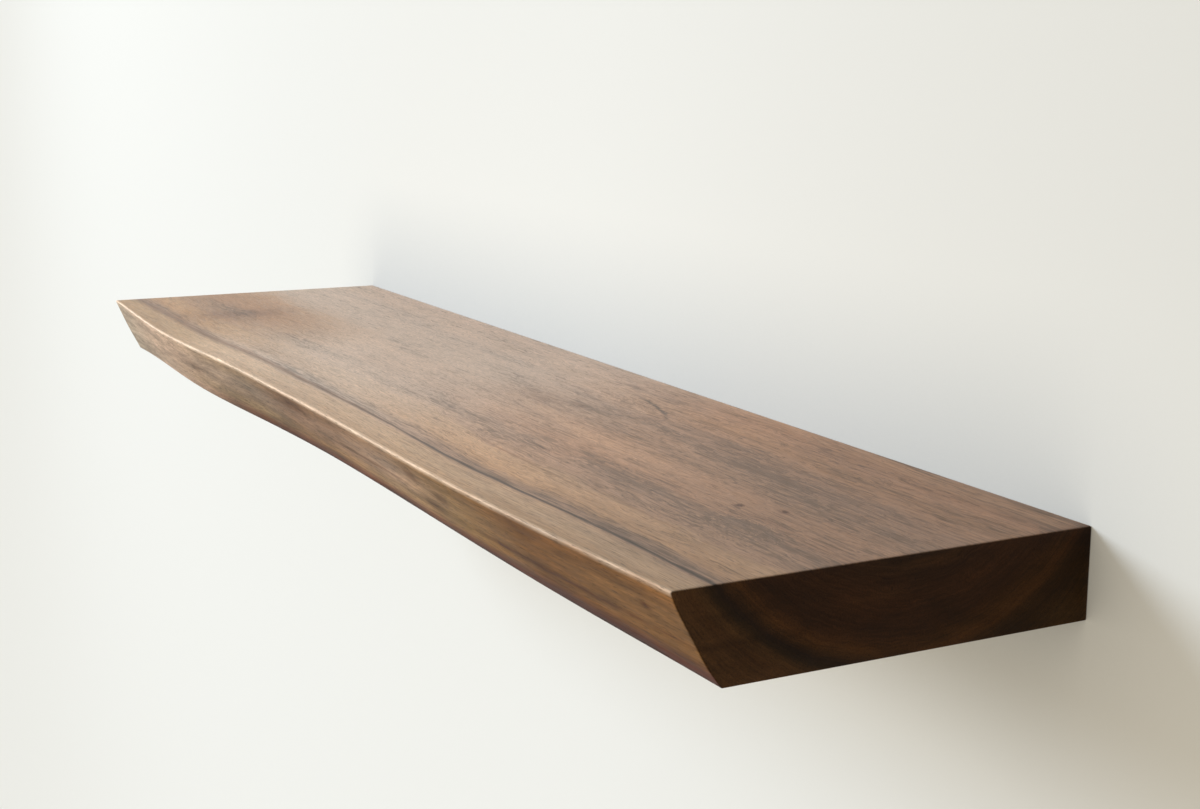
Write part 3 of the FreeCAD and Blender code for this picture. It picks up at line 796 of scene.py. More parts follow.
    def _end_grain(self, graph: Graph) -> None:
        """Show the darker end grain on the two ends, flecked along its rings; its colours hold painted
        shade as well as the oil's darkening.

        Args:
            graph: The material's nodes.
        """
        graph.add("facing_end", "Math.ABSOLUTE", "facing.X")
        graph.add("end", "MapRange", "facing_end", 0.45, 0.9, **EASED)
        graph.add("end_at", "CombineXYZ", "at.X", "end_radius", "arc")
        self._noises(graph, "end_at", (Lumps("fleck", self.fleck_sizes, 2.0),))
        graph.add("flecked", "MapRange", "fleck", 0.3, 0.7, 0.78, 1.26, clamp=False)
        graph.add("blotched", "MapRange", "mottle", 0.3, 0.7, 1.28, 0.74, clamp=False)
        graph.add("end_tone", "Math.MULTIPLY", "flecked", "blotched")
        graph.add("end_tint", "VectorMath.SCALE", "end_colour.2", Scale="end_tone")
        graph.add("face_or_end", "Mix.MIX", "end", "rubbed.2", "end_tint")

    def _crook(self, graph: Graph) -> None:
        """Work out how dark the growth line round the old branch is.

        Args:
            graph: The material's nodes.
        """
        line = self.crook
        graph.add("crook_x", "Math.SUBTRACT", "at.X", line.tip[0])
        graph.add("crook_y", "Math.SUBTRACT", "at.Y", line.tip[1])
        graph.add("crook_yy", "Math.MULTIPLY", "crook_y", "crook_y")
        graph.add("crook_off", "Math.MULTIPLY_ADD", "crook_yy", line.bend, "crook_x")
        graph.add("crook_steep", "Math.MULTIPLY_ADD", "crook_yy", (2.0 * line.bend) ** 2, 1.0)
        graph.add("crook_slope", "Math.SQRT", "crook_steep")
        graph.add("crook_away", "Math.DIVIDE", "crook_off", "crook_slope")
        graph.add("crook_thin", "Math.MULTIPLY", "crook_away", 1.0 / line.thick)
        middle = (line.middle[0], line.middle[1], self.board_thick / 2.0)
        graph.add("crook_from", "VectorMath.SUBTRACT", "mm", middle)
        size = (1.0 / line.span[0], 1.0 / line.span[1], 1.0 / line.span[1])
        graph.add("crook_rel", "VectorMath.MULTIPLY_ADD", "crook_from", size, "stray")
        graph.add("crook_far", "VectorMath.DOT_PRODUCT", "crook_rel", "crook_rel")
        graph.add("crook_both", "Math.MULTIPLY_ADD", "crook_thin", "crook_thin", "crook_far.Value")
        graph.add("crook_minus", "Math.MULTIPLY", "crook_both", -1.0)
        graph.add("crook_hump", "Math.EXPONENT", "crook_minus")
        graph.add("crook_tone", "Math.MULTIPLY_ADD", "crook_hump", -line.dark, 1.0)

    def _tones(self, graph: Graph) -> None:
        """Lighten and darken the wood by its fibres, pores, clouds, spots and growth lines.

        Args:
            graph: The material's nodes.
        """
        self._crook(graph)
        graph.add("pore", "MapRange", "pores", 0.58, 0.68)
        graph.add("pore_tone", "MapRange", "pore", 0.0, 1.0, 1.0, 0.62)
        graph.add("fibre_tone", "MapRange", "fibre", 0.3, 0.7, 0.76, 1.22)
        graph.add("cloud_tone", "MapRange", "cloud", 0.3, 0.7, 1.10, 0.90)
        # a spot takes more of the blue than of the red
        graph.add(
            "spot_tint", "VectorMath.MULTIPLY_ADD", "dark", tuple(-share for share in self.spot_loss),
            (1.0, 1.0, 1.0)
        )
        graph.add("spotted", "VectorMath.MULTIPLY", "face_or_end.2", "spot_tint")
        # painted shade: the wood is darker towards the right-hand end, where less light falls
        graph.add("heart_tone", "MapRange", "at.X", 200.0, 540.0, 1.0, 0.66, **EASED)
        before = "pore_tone"
        for tone in ("fibre_tone", "cloud_tone", "crook_tone", "heart_tone"):
            graph.add("with_" + tone, "Math.MULTIPLY", before, tone)
            before = "with_" + tone
        graph.add("toned", "VectorMath.SCALE", "spotted", Scale=before)
        # the darkest spots are bark and resin, a brown of their own
        graph.add("knot", "MapRange", "dark", 0.56, 0.74, **EASED)
        graph.add("colour", "Mix.MIX", "knot", "toned", linear(self.knot_colour))

    def _surface(self, graph: Graph) -> None:
        """Set the satin of the oil and the relief of the pores.

        Args:
            graph: The material's nodes.
        """
        graph.add("oiled", "MapRange", "streak", 0.3, 0.7, self.roughness - 0.04, self.roughness + 0.06)
        graph.add("open", "Math.MULTIPLY_ADD", "end", self.end_roughness, "oiled")
        graph.add("rough", "Math.MULTIPLY_ADD", "edge_here", self.edge_roughness, "open")
        graph.add("sunk", "Math.MULTIPLY", "pore", -1.0)
        graph.add("height", "Math.MULTIPLY_ADD", "fibre", 0.6, "sunk")
        graph.add("bump", "Bump", Strength=0.35, Distance=0.06 * MM, Height="height")
        graph.add(
            "wood", "BsdfPrincipled", Roughness="rough", Normal="bump",
            **{"Base Color": "colour.2", "Specular IOR Level": self.shine}
        )
        graph.add("result", "OutputMaterial", Surface="wood")


@dataclass(frozen=True)
class CloudedFinish:
    """A finish of one colour that clouds over into another, with a fine relief."""

    name: str
    colour: str
    clouded: str
    roughness: float
    smoother: float = 0.06  # how far the roughness strays below its middle
    rougher: float = 0.08  # and above
    clouds: float = 0.45  # to the millimetre
    finer: float = 4.0  # layers of finer clouds inside them
    relief_pitch: float = 0.25  # mm from one rise of the relief to the next
    relief_depth: float = 0.01
    relief_share: float = 0.2
    metallic: float = 1.0

    def material(self) -> Finish:
        """Make the finish.

        Returns:
            The material.
        """
        graph = Graph(bpy.data.materials.new(self.name))
        graph.add("coord", "TexCoord")
        graph.add("mm", "VectorMath.SCALE", "coord.Object", Scale=1.0 / MM)
        graph.add("cloud", "TexNoise", Vector="mm", Scale=self.clouds, Detail=self.finer)
        graph.add("ridges", "TexNoise", Vector="mm", Scale=1.0 / self.relief_pitch, Detail=1.0)
        graph.add("tone", "Mix.MIX", "cloud", linear(self.colour), linear(self.clouded))
        low, high = self.roughness - self.smoother, self.roughness + self.rougher
        graph.add("rough", "MapRange", "cloud", 0.3, 0.7, low, high)
        depth = self.relief_depth * MM
        graph.add("bump", "Bump", Strength=self.relief_share, Distance=depth, Height="ridges")
        surface = {"Roughness": "rough", "Normal": "bump", "Metallic": self.metallic}
        graph.add("face", "BsdfPrincipled", "tone.2", **surface)
        graph.add("result", "OutputMaterial", "face")
        return graph.owner


@dataclass(frozen=True)
class PowderCoatedSteel(CloudedFinish):
    """Mild steel under baked black powder: a satin skin with the faint ripple of orange peel."""

    name: str = "powder_coated_steel"
    colour: str = "232325"
    clouded: str = "2E2E30"
    roughness: float = 0.46
    smoother: float = 0.05
    rougher: float = 0.05
    clouds: float = 1.0 / 40.0
    finer: float = 3.0
    relief_pitch: float = 1.2
    relief_depth: float = 0.05
    relief_share: float = 0.4
    metallic: float = 0.0  # the powder is a plastic


@dataclass(frozen=True)
class BareMetal(CloudedFinish):
    """Turned metal, plated or plain: full metal, clouded by handling and finely uneven."""


# ---------------------------------------------------------------- the board


@dataclass
class WalnutBoard:
    """The live-edge board, with the slot, bores and lock holes that hide its bracket."""

    finish: OiledWalnut = OiledWalnut()
    node: str = "slab"
    section_pitch: float = 2.5
    end_band: float = 2.0  # length beside each eased end that has no sections
    arris: float = 1.0  # radius of the eased edges
    arris_steps: int = 6
    end_steps: int = 4
    bevel_rows: int = 22
    # columns of the flat faces, as share of the depth to the live edge and mm beyond that
    face_columns: Pairs = (
        (0.0, 0.0), (0.0, -3.0), (0.25, 0.0), (0.5, 0.0), (0.75, 0.0), (1.0, 8.0), (1.0, 1.5),
    )
    level_heights: tuple[float, ...] = (24.0, 12.5, 0.0, -12.5, -24.0)
    level_slack: float = 0.05  # by which a packed corner may miss its height
    edge_from: float = 190.0  # the live edge lies further than this from the wall
    relief: float = 0.3  # how far the sanded live edge rises and falls
    # its two noises, as size along, size up, seed and share
    lumps: tuple[tuple[float, float, float, float], ...] = (
        (75.0, 16.0, 3.7, 0.75), (22.0, 4.0, 9.1, 0.25),
    )
    relief_fade: float = 0.2  # share of the edge's height over which the relief sets in
    wear: tuple[float, float] = (0.3, 0.9)  # least and most of the painted highlight on the upper arris
    highlight_size: float = 30.0
    slot_size: Triple = (902.0, 40.0, 11.0)
    slot_corner: float = 7.0
    bore_radius: float = 8.1
    bore_depth: float = 170.0
    seat_radius: float = 4.55
    seat_top: float = -12.0
    clear_radius: float = 3.3
    clear_top: float = -4.0
    lock_setback: float = 70.0
    bore_sides: int = 56
    hole_sides: int = 40

    def build(self) -> Piece:
        """Make the board.

        Returns:
            The board, dressed and riding on its body.
        """
        _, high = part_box(self.node)
        self.half_long = high.x / MM
        self.half_high = high.z / MM
        self.levels = self._levels()
        board = skin("walnut_board", self._sections())
        self._mark_highlight(board)
        rods = [middle(f"rod_{number}")[0] for number in range(1, 7)]
        slot = rounded_rectangle(*self.slot_size[:2], self.slot_corner, CORNER_STEPS)
        cut(board, skin("slot", np.array([upright(slot, y) for y in (1.0, -self.slot_size[2])])))
        bore = [(1.0, self.bore_radius), (-self.bore_depth, self.bore_radius)]
        bores = [skin("bore", turned(bore, Axis.Y, (x, 0.0), self.bore_sides)) for x in rods]
        cut(board, join("bores", bores))
        steps = [
            (-self.half_high - 1.0, self.seat_radius),
            (self.seat_top, self.seat_radius),
            (self.seat_top, self.clear_radius),
            (self.clear_top, self.clear_radius),
        ]
        centres = [(x, -self.lock_setback) for x in (rods[0], rods[-1])]
        holes = [skin("hole", turned(steps, Axis.Z, centre, self.hole_sides)) for centre in centres]
        cut(board, join("holes", holes))
        smooth(board, 40.0)
        return fit(board, Body.BOARD, Slot.WALNUT, self.finish.material(), self.node)

    def _levels(self) -> list[tuple[np.ndarray, np.ndarray]]:
        """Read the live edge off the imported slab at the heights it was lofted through.

        Returns:
            For each height, places along the board and the depths there, in millimetres.
        """
        corners = np.array([v.co[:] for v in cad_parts[self.node].data.vertices]) / MM
        levels = []
        for height in self.level_heights:
            near = np.abs(corners[:, 2] - height) < self.level_slack
            inside = np.abs(corners[:, 0]) <= self.half_long - self.arris + 0.01
            found = corners[near & inside & (corners[:, 1] < -self.edge_from)]
            places, first = np.unique(np.round(found[:, 0], 2), return_index=True)
            levels.append((places, -found[first, 1]))
        return levels

    def _sections(self) -> np.ndarray:
        """Work out the outline of the board at many places along it.

        Returns:
            Rings for skin(), from one end to the other.
        """
        inner = self.half_long - self.arris
        reach = inner - self.end_band
        count = int(round(2.0 * reach / self.section_pitch))
        plain = np.linspace(-reach, reach, count)
        turns = [math.pi / 2.0 * step / self.end_steps for step in range(self.end_steps, -1, -1)]
        places = [-inner - self.arris * math.sin(a) for a in turns]
        insets = [self.arris * (1.0 - math.cos(a)) for a in turns]
        xs = np.array(places + list(plain) + [-p for p in reversed(places)])
        sinks = np.array(insets + [0.0] * count + list(reversed(insets)))
        held = np.clip(xs, -inner, inner)
        depths = np.array([spline_through(knots, values, held) for knots, values in self.levels])
        rings = []
        for number, (x, sink) in enumerate(zip(xs, sinks)):
            outline = self._outline(depths[:, number], float(held[number]))
            rings.append(np.column_stack([np.full(len(outline), x), self._shrink(outline, sink)]))
        return np.array(rings)

    def _outline(self, depths: np.ndarray, x: float) -> np.ndarray:
        """Outline of the board at one place along it.

        Args:
            depths: Depth of the live edge at each level.
            x: The place along the board.

        Returns:
            Points by two coordinates, from the top rear corner round to the bottom rear corner.
        """
        levels = np.array(self.level_heights)[::-1]
        fronts = -depths[::-1]
        half = self.half_high
        corner_y = spline_through(levels, fronts, np.array([half, -half]))
        top = np.array([corner_y[0], half])
        low = np.array([corner_y[1], -half])
        slope = (low - top) / np.linalg.norm(low - top)
        arc_top = self._arc(top, np.array([-1.0, 0.0]), slope)
        arc_low = self._arc(low, slope, np.array([1.0, 0.0]))
        high_z, low_z = arc_top[-1][1], arc_low[0][1]
        shares = np.arange(1, self.bevel_rows + 1) / (self.bevel_rows + 1)
        zs = high_z + (low_z - high_z) * shares
        ys = spline_through(levels, fronts, zs)
        fade = self.relief_fade
        window = smooth_step(shares / fade) * smooth_step((1.0 - shares) / fade)
        for row, z in enumerate(zs):
            rise = [share * noise.noise(Vector((x / a, z / b, seed))) for a, b, seed, share in self.lumps]
            ys[row] += self.relief * sum(rise) * window[row]
        bevel = np.column_stack([ys, zs])
        tops = self._columns(arc_top[0][0], half, False)
        unders = self._columns(arc_low[-1][0], -half, True)
        return np.vstack([tops, arc_top, bevel, arc_low, unders])

    def _arc(self, corner: np.ndarray, into: np.ndarray, out: np.ndarray) -> np.ndarray:
        """Round a corner of the outline.

        Args:
            corner: The sharp corner.
            into: Unit direction that the outline comes in by.
            out: Unit direction that it leaves by.

        Returns:
            Points along the arc.
        """
        turn = math.acos(float(np.clip(np.dot(into, out), -1.0, 1.0)))
        start = corner - into * (self.arris * math.tan(turn / 2.0))
        inward = np.array([-into[1], into[0]])
        if np.dot(inward, out) < 0:
            inward = -inward
        centre = start + inward * self.arris
        points = []
        for step in range(self.arris_steps + 1):
            angle = turn * step / self.arris_steps
            side = inward * self.arris * math.cos(angle)
            points.append(centre - side + into * self.arris * math.sin(angle))
        return np.array(points)

    def _columns(self, front: float, height: float, outwards: bool) -> np.ndarray:
        """Lay out the columns of the top face or the underside.

        Args:
            front: Where the flat face meets the arris.
            height: Height of the face.
            outwards: True if they run towards the wall.

        Returns:
            Points by two coordinates.
        """
        rows = [(front * share + beyond, height) for share, beyond in self.face_columns]
        return np.array(rows[::-1] if outwards else rows)

    def _shrink(self, outline: np.ndarray, sink: float) -> np.ndarray:
        """Draw an outline in, apart from its rear face, which stays on the wall.

        Args:
            outline: Points by two coordinates.
            sink: By how much.

        Returns:
            The smaller outline.
        """
        if sink == 0.0:
            return outline
        along = np.roll(outline, -1, axis=0) - np.roll(outline, 1, axis=0)
        along /= np.linalg.norm(along, axis=1)[:, None]
        inward = np.column_stack([-along[:, 1], along[:, 0]])
        rear = outline[:, 0] > -0.01
        inward[rear] = np.column_stack([np.zeros(rear.sum()), -np.sign(outline[rear, 1])])
        return outline + inward * sink

    def _mark_highlight(self, board: Piece) -> None:
        """Mark the live edge's upper arris, where a highlight is painted.

        Args:
            board: The board, before anything is cut out of it.
        """
        mesh = board.data
        wear = mesh.attributes.new("wear", "FLOAT", "POINT")
        marks = np.zeros(len(mesh.vertices))
        first = len(self.face_columns)
        around = 2 * (first + self.arris_steps + 1) + self.bevel_rows
        column = np.arange(len(marks)) % around
        least, most = self.wear
        for index in np.nonzero((column >= first) & (column <= first + self.arris_steps))[0]:
            x = mesh.vertices[index].co.x / MM
            glint_share = 0.5 + 0.5 * noise.noise(Vector((x / self.highlight_size, 1.3, 5.0)))
            marks[index] = least + (most - least) * glint_share
        wear.data.foreach_set("value", marks)


# ---------------------------------------------------------------- the bracket


@dataclass
class RodBracket:
    """The flat bar on the wall, and the six rods welded to it."""

    finish: PowderCoatedSteel = PowderCoatedSteel()
    bar_corner: float = 6.0
    edge: float = 0.6  # radius that grinding and powder leave on the steel's edges
    edge_steps: int = 3
    rod_radius: float = 8.0
    rod_lead: float = 2.0
    rod_ease: float = 0.35  # of the two edges of the lead
    rod_band: float = 12.0  # length of the short faces that keep the shading of the ends apart
    rod_sides: int = 64
    weld_leg: float = 4.0
    weld_steps: int = 8
    weld_sides: int = 168
    weld_inset: float = 0.3  # leaves room on each leg for the bulge and the ripples
    weld_bulge: tuple[float, float] = (0.25, 0.2)  # away from the rod, and from the bar
    weld_bite: float = 0.4  # how far the bead reaches into the rod
    ripple: float = 2.2  # mm from one weld ripple to the next
    ripple_height: float = 0.16
    hole_sides: int = 40
    hole_radius: float = 3.3
    sink_radius: float = 6.1

    def build(self) -> None:
        """Make the bar, the rods and the welds."""
        steel = self.finish.material()
        low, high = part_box("back_bar")
        self.bar_front = low.y / MM
        fit(self._bar(low / MM, high / MM), Body.BRACKET, Slot.BRACKET_STEEL, steel, "back_bar")
        centres = []
        for number in range(1, 7):
            node = f"rod_{number}"
            low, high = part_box(node)
            centres.append(middle(node)[0])
            radius = (high.x - low.x) / 2.0 / MM
            rod = self._rod(f"steel_rod_{number}", centres[-1], radius, low.y / MM)
            fit(rod, Body.BRACKET, Slot.BRACKET_STEEL, steel, node)
        beads = join("fillet_welds", [self._weld(number, x) for number, x in enumerate(centres)])
        smooth(beads, 60.0)
        fit(beads, Body.BRACKET, Slot.BRACKET_STEEL, steel, "weld_beads")

    def _bar(self, low: Vector, high: Vector) -> Piece:
        """Make the flat bar with its countersunk holes.

        Args:
            low: Lowest corner of the bar, in millimetres.
            high: Highest corner.

        Returns:
            The bar.
        """
        width, height = high.x - low.x, high.z - low.z
        front = []
        for step in range(self.edge_steps + 1):
            angle = math.pi / 2.0 * step / self.edge_steps
            front.append((low.y + self.edge * (1 - math.sin(angle)), self.edge * (1 - math.cos(angle))))
        rear = [(high.y - (y - low.y), inset) for y, inset in front]
        stack = []
        for y, inset in front[::-1] + rear:
            sides = (width - 2 * inset, height - 2 * inset)
            outline = rounded_rectangle(*sides, self.bar_corner - inset, CORNER_STEPS)
            stack.append(upright(outline, y))
        bar = skin("flat_bar", np.array(stack))
        profile = [
            (high.y + 1.0, self.hole_radius),
            (low.y + self.sink_radius - self.hole_radius, self.hole_radius),
            (low.y, self.sink_radius),
            (low.y - 1.0, self.sink_radius + 1.0),
        ]
        rings = [turned(profile, Axis.Y, centre, self.hole_sides) for _, _, centre in screw_grid()]
        cut(bar, join("holes", [skin("hole", ring) for ring in rings]))
        smooth(bar, 35.0)
        return bar

    def _rod(self, name: str, x: float, radius: float, tip: float) -> Piece:
        """Make one rod.

        Args:
            name: Name of the piece.
            x: Where it stands along the bar.
            radius: Its radius.
            tip: Where it ends.

        Returns:
            The rod.
        """
        lead, soft = self.rod_lead, self.rod_ease
        slant = soft * 0.7  # the same distance measured along each leg of the lead
        profile = [
            (self.bar_front, radius),
            (self.bar_front - self.rod_band, radius),
            (tip + lead + self.rod_band, radius),
            (tip + lead + soft, radius),
            (tip + lead - slant, radius - slant),
            (tip + slant, radius - lead + slant),
            (tip, radius - lead - soft),
        ]
        rod = skin(name, turned(profile, Axis.Y, (x, 0.0), self.rod_sides))
        smooth(rod, 40.0)
        return rod

    def _weld(self, number: int, x: float) -> Piece:
        """Make one fillet weld, with the ripples that its puddle froze in.

        Args:
            number: Which weld, so that no two are alike.
            x: Where its rod stands.

        Returns:
            The weld.
        """
        angles = np.arange(self.weld_sides) * TAU / self.weld_sides
        ripples = round(TAU * (self.rod_radius + self.weld_leg / 2.0) / self.ripple)
        wave = self.ripple_height * np.abs(np.sin(angles * ripples / 2.0 + number))
        leg = self.weld_leg - self.weld_inset
        out, front = self.weld_bulge
        rows = []
        for step in range(self.weld_steps + 1):
            share = step / self.weld_steps
            bulge = math.sin(math.pi * share)
            radii = self.rod_radius + leg * (1.0 - share) + bulge * (out + wave)
            rows.append((radii, self.bar_front - leg * share - bulge * (front + wave)))
        root = self.rod_radius - self.weld_bite
        rows += [(root, np.full(len(angles), y)) for y in (self.bar_front - leg, self.bar_front)]
        rings = [np.column_stack([x + r * np.cos(angles), y, r * np.sin(angles)]) for r, y in rows]
        return skin("weld", np.array(rings), closed=True)


# ---------------------------------------------------------------- screws and inserts


def thread(pitch: float, depth: float, start: float, end: float, run_out: float) -> Callable:
    """Give a swell for turned() that cuts a screw thread.

    Args:
        pitch: Distance from crest to crest, in millimetres.
        depth: Height of the thread.
        start: Where it starts along the axis.
        end: Where it ends.
        run_out: Length over which it rises and fades.

    Returns:
        A function of the angles, the distance along and the radius over the thread.
    """

    def swell(angles: np.ndarray, along: float, radius: float) -> np.ndarray:
        """Cut the thread into one ring.

        Args:
            angles: Angles round the ring.
            along: Where it lies.
            radius: Radius over the thread.

        Returns:
            The ring's radii.
        """
        phase = (along / pitch + angles / TAU) % 1.0
        ridge = 1.0 - np.abs(2.0 * phase - 1.0)
        inside = min(max(along - start, 0.0), max(end - along, 0.0)) / run_out
        return radius - depth * (1.0 - ridge) * min(1.0, inside)

    return swell


@dataclass
class WallScrews:
    """Six countersunk wood screws with a cross recess, through the bar into the wall's timber."""

    finish: BareMetal = BareMetal("zinc_plated_steel", "C9CCCE", "A9ADB0", 0.32)
    pitch: float = 2.6
    core: float = 4.2
    over: float = 6.0
    neck: float = 4.4
    head: float = 11.6
    tip_length: float = 6.0
    thread_start: float = 0.3
    steps_per_turn: int = 8
    crest: float = 1.6  # how much sharper than a plain vee the crest is
    point_rows: int = 10
    point_radius: float = 0.12
    least_radius: float = 0.1
    rim: Pairs = ((0.0, -0.25), (0.12, 0.0), (0.35, 0.0))  # depth, swell
    sides: int = 28
    turns: tuple[float, float] = (0.35, 0.6)  # radians by which the recesses differ by column and row
    recess_width: float = 1.5
    recess_span: float = 6.2
    recess_depth: float = 3.0
    recess_mouth: tuple[float, float] = (0.5, 1.08)  # mm in front of the head, and its share of the span
    recess_floor: float = 0.38

    def build(self) -> None:
        """Make the screws."""
        low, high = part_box("wall_screws")
        self.face, self.tip = low.y / MM, high.y / MM
        by_column, by_row = self.turns
        grid = screw_grid()
        screws = [self._screw(centre, by_column * column + by_row * row) for column, row, centre in grid]
        joined = join("wood_screws", screws)
        smooth(joined, 35.0)
        fit(joined, Body.BRACKET, Slot.ZINC_STEEL, self.finish.material(), "wall_screws")

    def _screw(self, centre: tuple[float, float], turn: float) -> Piece:
        """Make one screw.

        Args:
            centre: Where it stands.
            turn: How far its recess is turned, in radians.

        Returns:
            The screw.
        """
        rise = (self.head - self.neck) / 2.0
        profile = [(self.face + deep, self.head / 2.0 + swell) for deep, swell in self.rim]
        profile += [
            (self.face + rise, self.neck / 2.0 + 0.15),
            (self.face + rise + 0.6, self.neck / 2.0),
            (self.thread_start - 0.01, self.neck / 2.0),
        ]
        shank_end = self.tip - self.tip_length
        length = shank_end - self.thread_start
        count = int(length / (self.pitch / self.steps_per_turn))
        profile += even_rows(self.over / 2.0, self.thread_start, length, count)
        for row in range(1, self.point_rows + 1):
            share = row / self.point_rows
            radius = max(self.over / 2.0 * (1.0 - share), self.point_radius)
            profile.append((shank_end + self.tip_length * share, radius))
        screw = skin("screw", turned(profile, Axis.Y, centre, self.sides, self._thread))
        for quarter in (0, 1):
            cut(screw, self._recess(centre, turn + quarter * math.pi / 2.0))
        return screw

    def _thread(self, angles: np.ndarray, along: float, radius: float) -> np.ndarray:
        """Cut the wood thread, which runs out over the point; a swell for turned().

        Args:
            angles: Angles round one ring.
            along: Where the ring lies.
            radius: Radius over the thread there.

        Returns:
            The ring's radii.
        """
        if along < self.thread_start:
            return np.full(len(angles), radius)
        phase = (along / self.pitch + angles / TAU) % 1.0
        ridge = np.clip(1.0 - np.abs(2.0 * phase - 1.0) * self.crest, 0.0, 1.0)
        height = (self.over - self.core) / 2.0 * min(1.0, radius / (self.over / 2.0))
        return np.maximum(radius - height * (1.0 - ridge), self.least_radius)

    def _recess(self, centre: tuple[float, float], turn: float) -> Piece:
        """Make one wing pair of the cross recess, narrower and shorter as it goes in.

        Args:
            centre: Where its screw stands.
            turn: How far it is turned, in radians.

        Returns:
            The solid to cut out of the screw.
        """
        ahead, mouth = self.recess_mouth
        rings = []
        for y, share in ((self.face - ahead, mouth), (self.face + self.recess_depth, self.recess_floor)):
            half_span = self.recess_span / 2.0 * share
            half_width = self.recess_width / 2.0 * (0.6 + 0.4 * share)
            ring = []
            for side_x, side_z in ((1, 1), (-1, 1), (-1, -1), (1, -1)):
                across, up = side_x * half_span, side_z * half_width
                x = centre[0] + across * math.cos(turn) - up * math.sin(turn)
                z = centre[1] + across * math.sin(turn) + up * math.cos(turn)
                ring.append((x, y, z))
            rings.append(ring)
        return skin("recess", np.array(rings))


@dataclass
class LockFitting:
    """A brass insert in the board's underside, and the set screw that presses on the last rod."""

    side: str
    screw_body: Body
    brass: Finish
    black: Finish
    lock_radius: float = 3.0
    thread_pitch: float = 1.0
    thread_depth: float = 0.28
    insert_radius: float = 4.5
    insert_bore: float = 3.05
    insert_pitch: float = 2.5
    insert_depth: float = 0.55
    drive_slot: Triple = (12.0, 1.2, 1.4)  # the cutter's length, width and depth
    socket: float = 3.0
    socket_depth: float = 3.5
    sides: int = 48
    bore_sides: int = 40

    def build(self) -> None:
        """Make the insert and its screw."""
        node = "insert_" + self.side
        low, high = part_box(node)
        self.centre = middle(node)[:2]
        insert = self._insert(low.z / MM, high.z / MM)
        fit(insert, Body.BOARD, Slot.BRASS, self.brass, node)
        node = "lock_screw_" + self.side
        low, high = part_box(node)
        screw = self._screw(low.z / MM, high.z / MM)
        fit(screw, self.screw_body, Slot.BLACK_OXIDE, self.black, node)

    def _turn(
        self, name: str, profile: Sequence[tuple[float, float]], sides: int, *cutting: Callable
    ) -> Piece:
        """Turn a profile about the fitting's upright axis, with a thread if one is given."""
        return skin(name, turned(profile, Axis.Z, self.centre, sides, *cutting))

    def _insert(self, low: float, high: float) -> Piece:
        """Make the insert: a coarse wood thread outside, a bore inside and a slot to drive it.

        Args:
            low: Height of its mouth, in millimetres.
            high: Height of its far end.

        Returns:
            The insert.
        """
        radius = self.insert_radius
        count = int((high - low - 1.0) / (self.insert_pitch / 10.0))
        profile = [(low, radius - 0.5), (low + 0.5, radius)]
        profile += even_rows(radius, low + 0.6, high - low - 1.2, count)
        profile += [(high - 0.5, radius), (high, radius - 0.6)]
        cutting = thread(self.insert_pitch, self.insert_depth, low + 0.6, high - 0.3, 1.2)
        insert = self._turn("brass_insert_" + self.side, profile, self.sides, cutting)
        bore = [(low - 1.0, self.insert_bore), (high + 1.0, self.insert_bore)]
        cut(insert, self._turn("bore", bore, self.bore_sides))
        long, wide, deep = self.drive_slot
        corners = np.array([(-long, -wide), (long, -wide), (long, wide), (-long, wide)]) / 2.0
        rings = np.zeros((2, 4, 3))
        rings[:, :, :2] = corners + np.array(self.centre)
        rings[0, :, 2] = low - 1.0
        rings[1, :, 2] = low + deep
        cut(insert, skin("slot", rings))
        smooth(insert, 35.0)
        return insert

    def _screw(self, low: float, high: float) -> Piece:
        """Make the set screw: a fine thread, a flat point and a hexagon socket.

        Args:
            low: Height of its socket end, in millimetres.
            high: Height of its point.

        Returns:
            The screw.
        """
        radius = self.lock_radius
        length = high - low - 1.4
        profile = [(low, radius - 0.55), (low + 0.5, radius - 0.02)]
        profile += even_rows(radius, low + 0.6, length, int(length / (self.thread_pitch / 8.0)))
        profile += [(high - 0.7, radius - 0.1), (high, radius - 0.8)]
        cutting = thread(self.thread_pitch, self.thread_depth, low + 0.4, high - 0.4, 0.6)
        screw = self._turn("set_screw_" + self.side, profile, self.sides, cutting)
        corner, deep = self.socket / math.sqrt(3.0), low + self.socket_depth
        cut(screw, self._turn("socket", [(low - 1.0, corner), (deep, corner), (deep + 0.7, 0.15)], 6))
        smooth(screw, 35.0)
        return screw


# ---------------------------------------------------------------- stage, light and camera


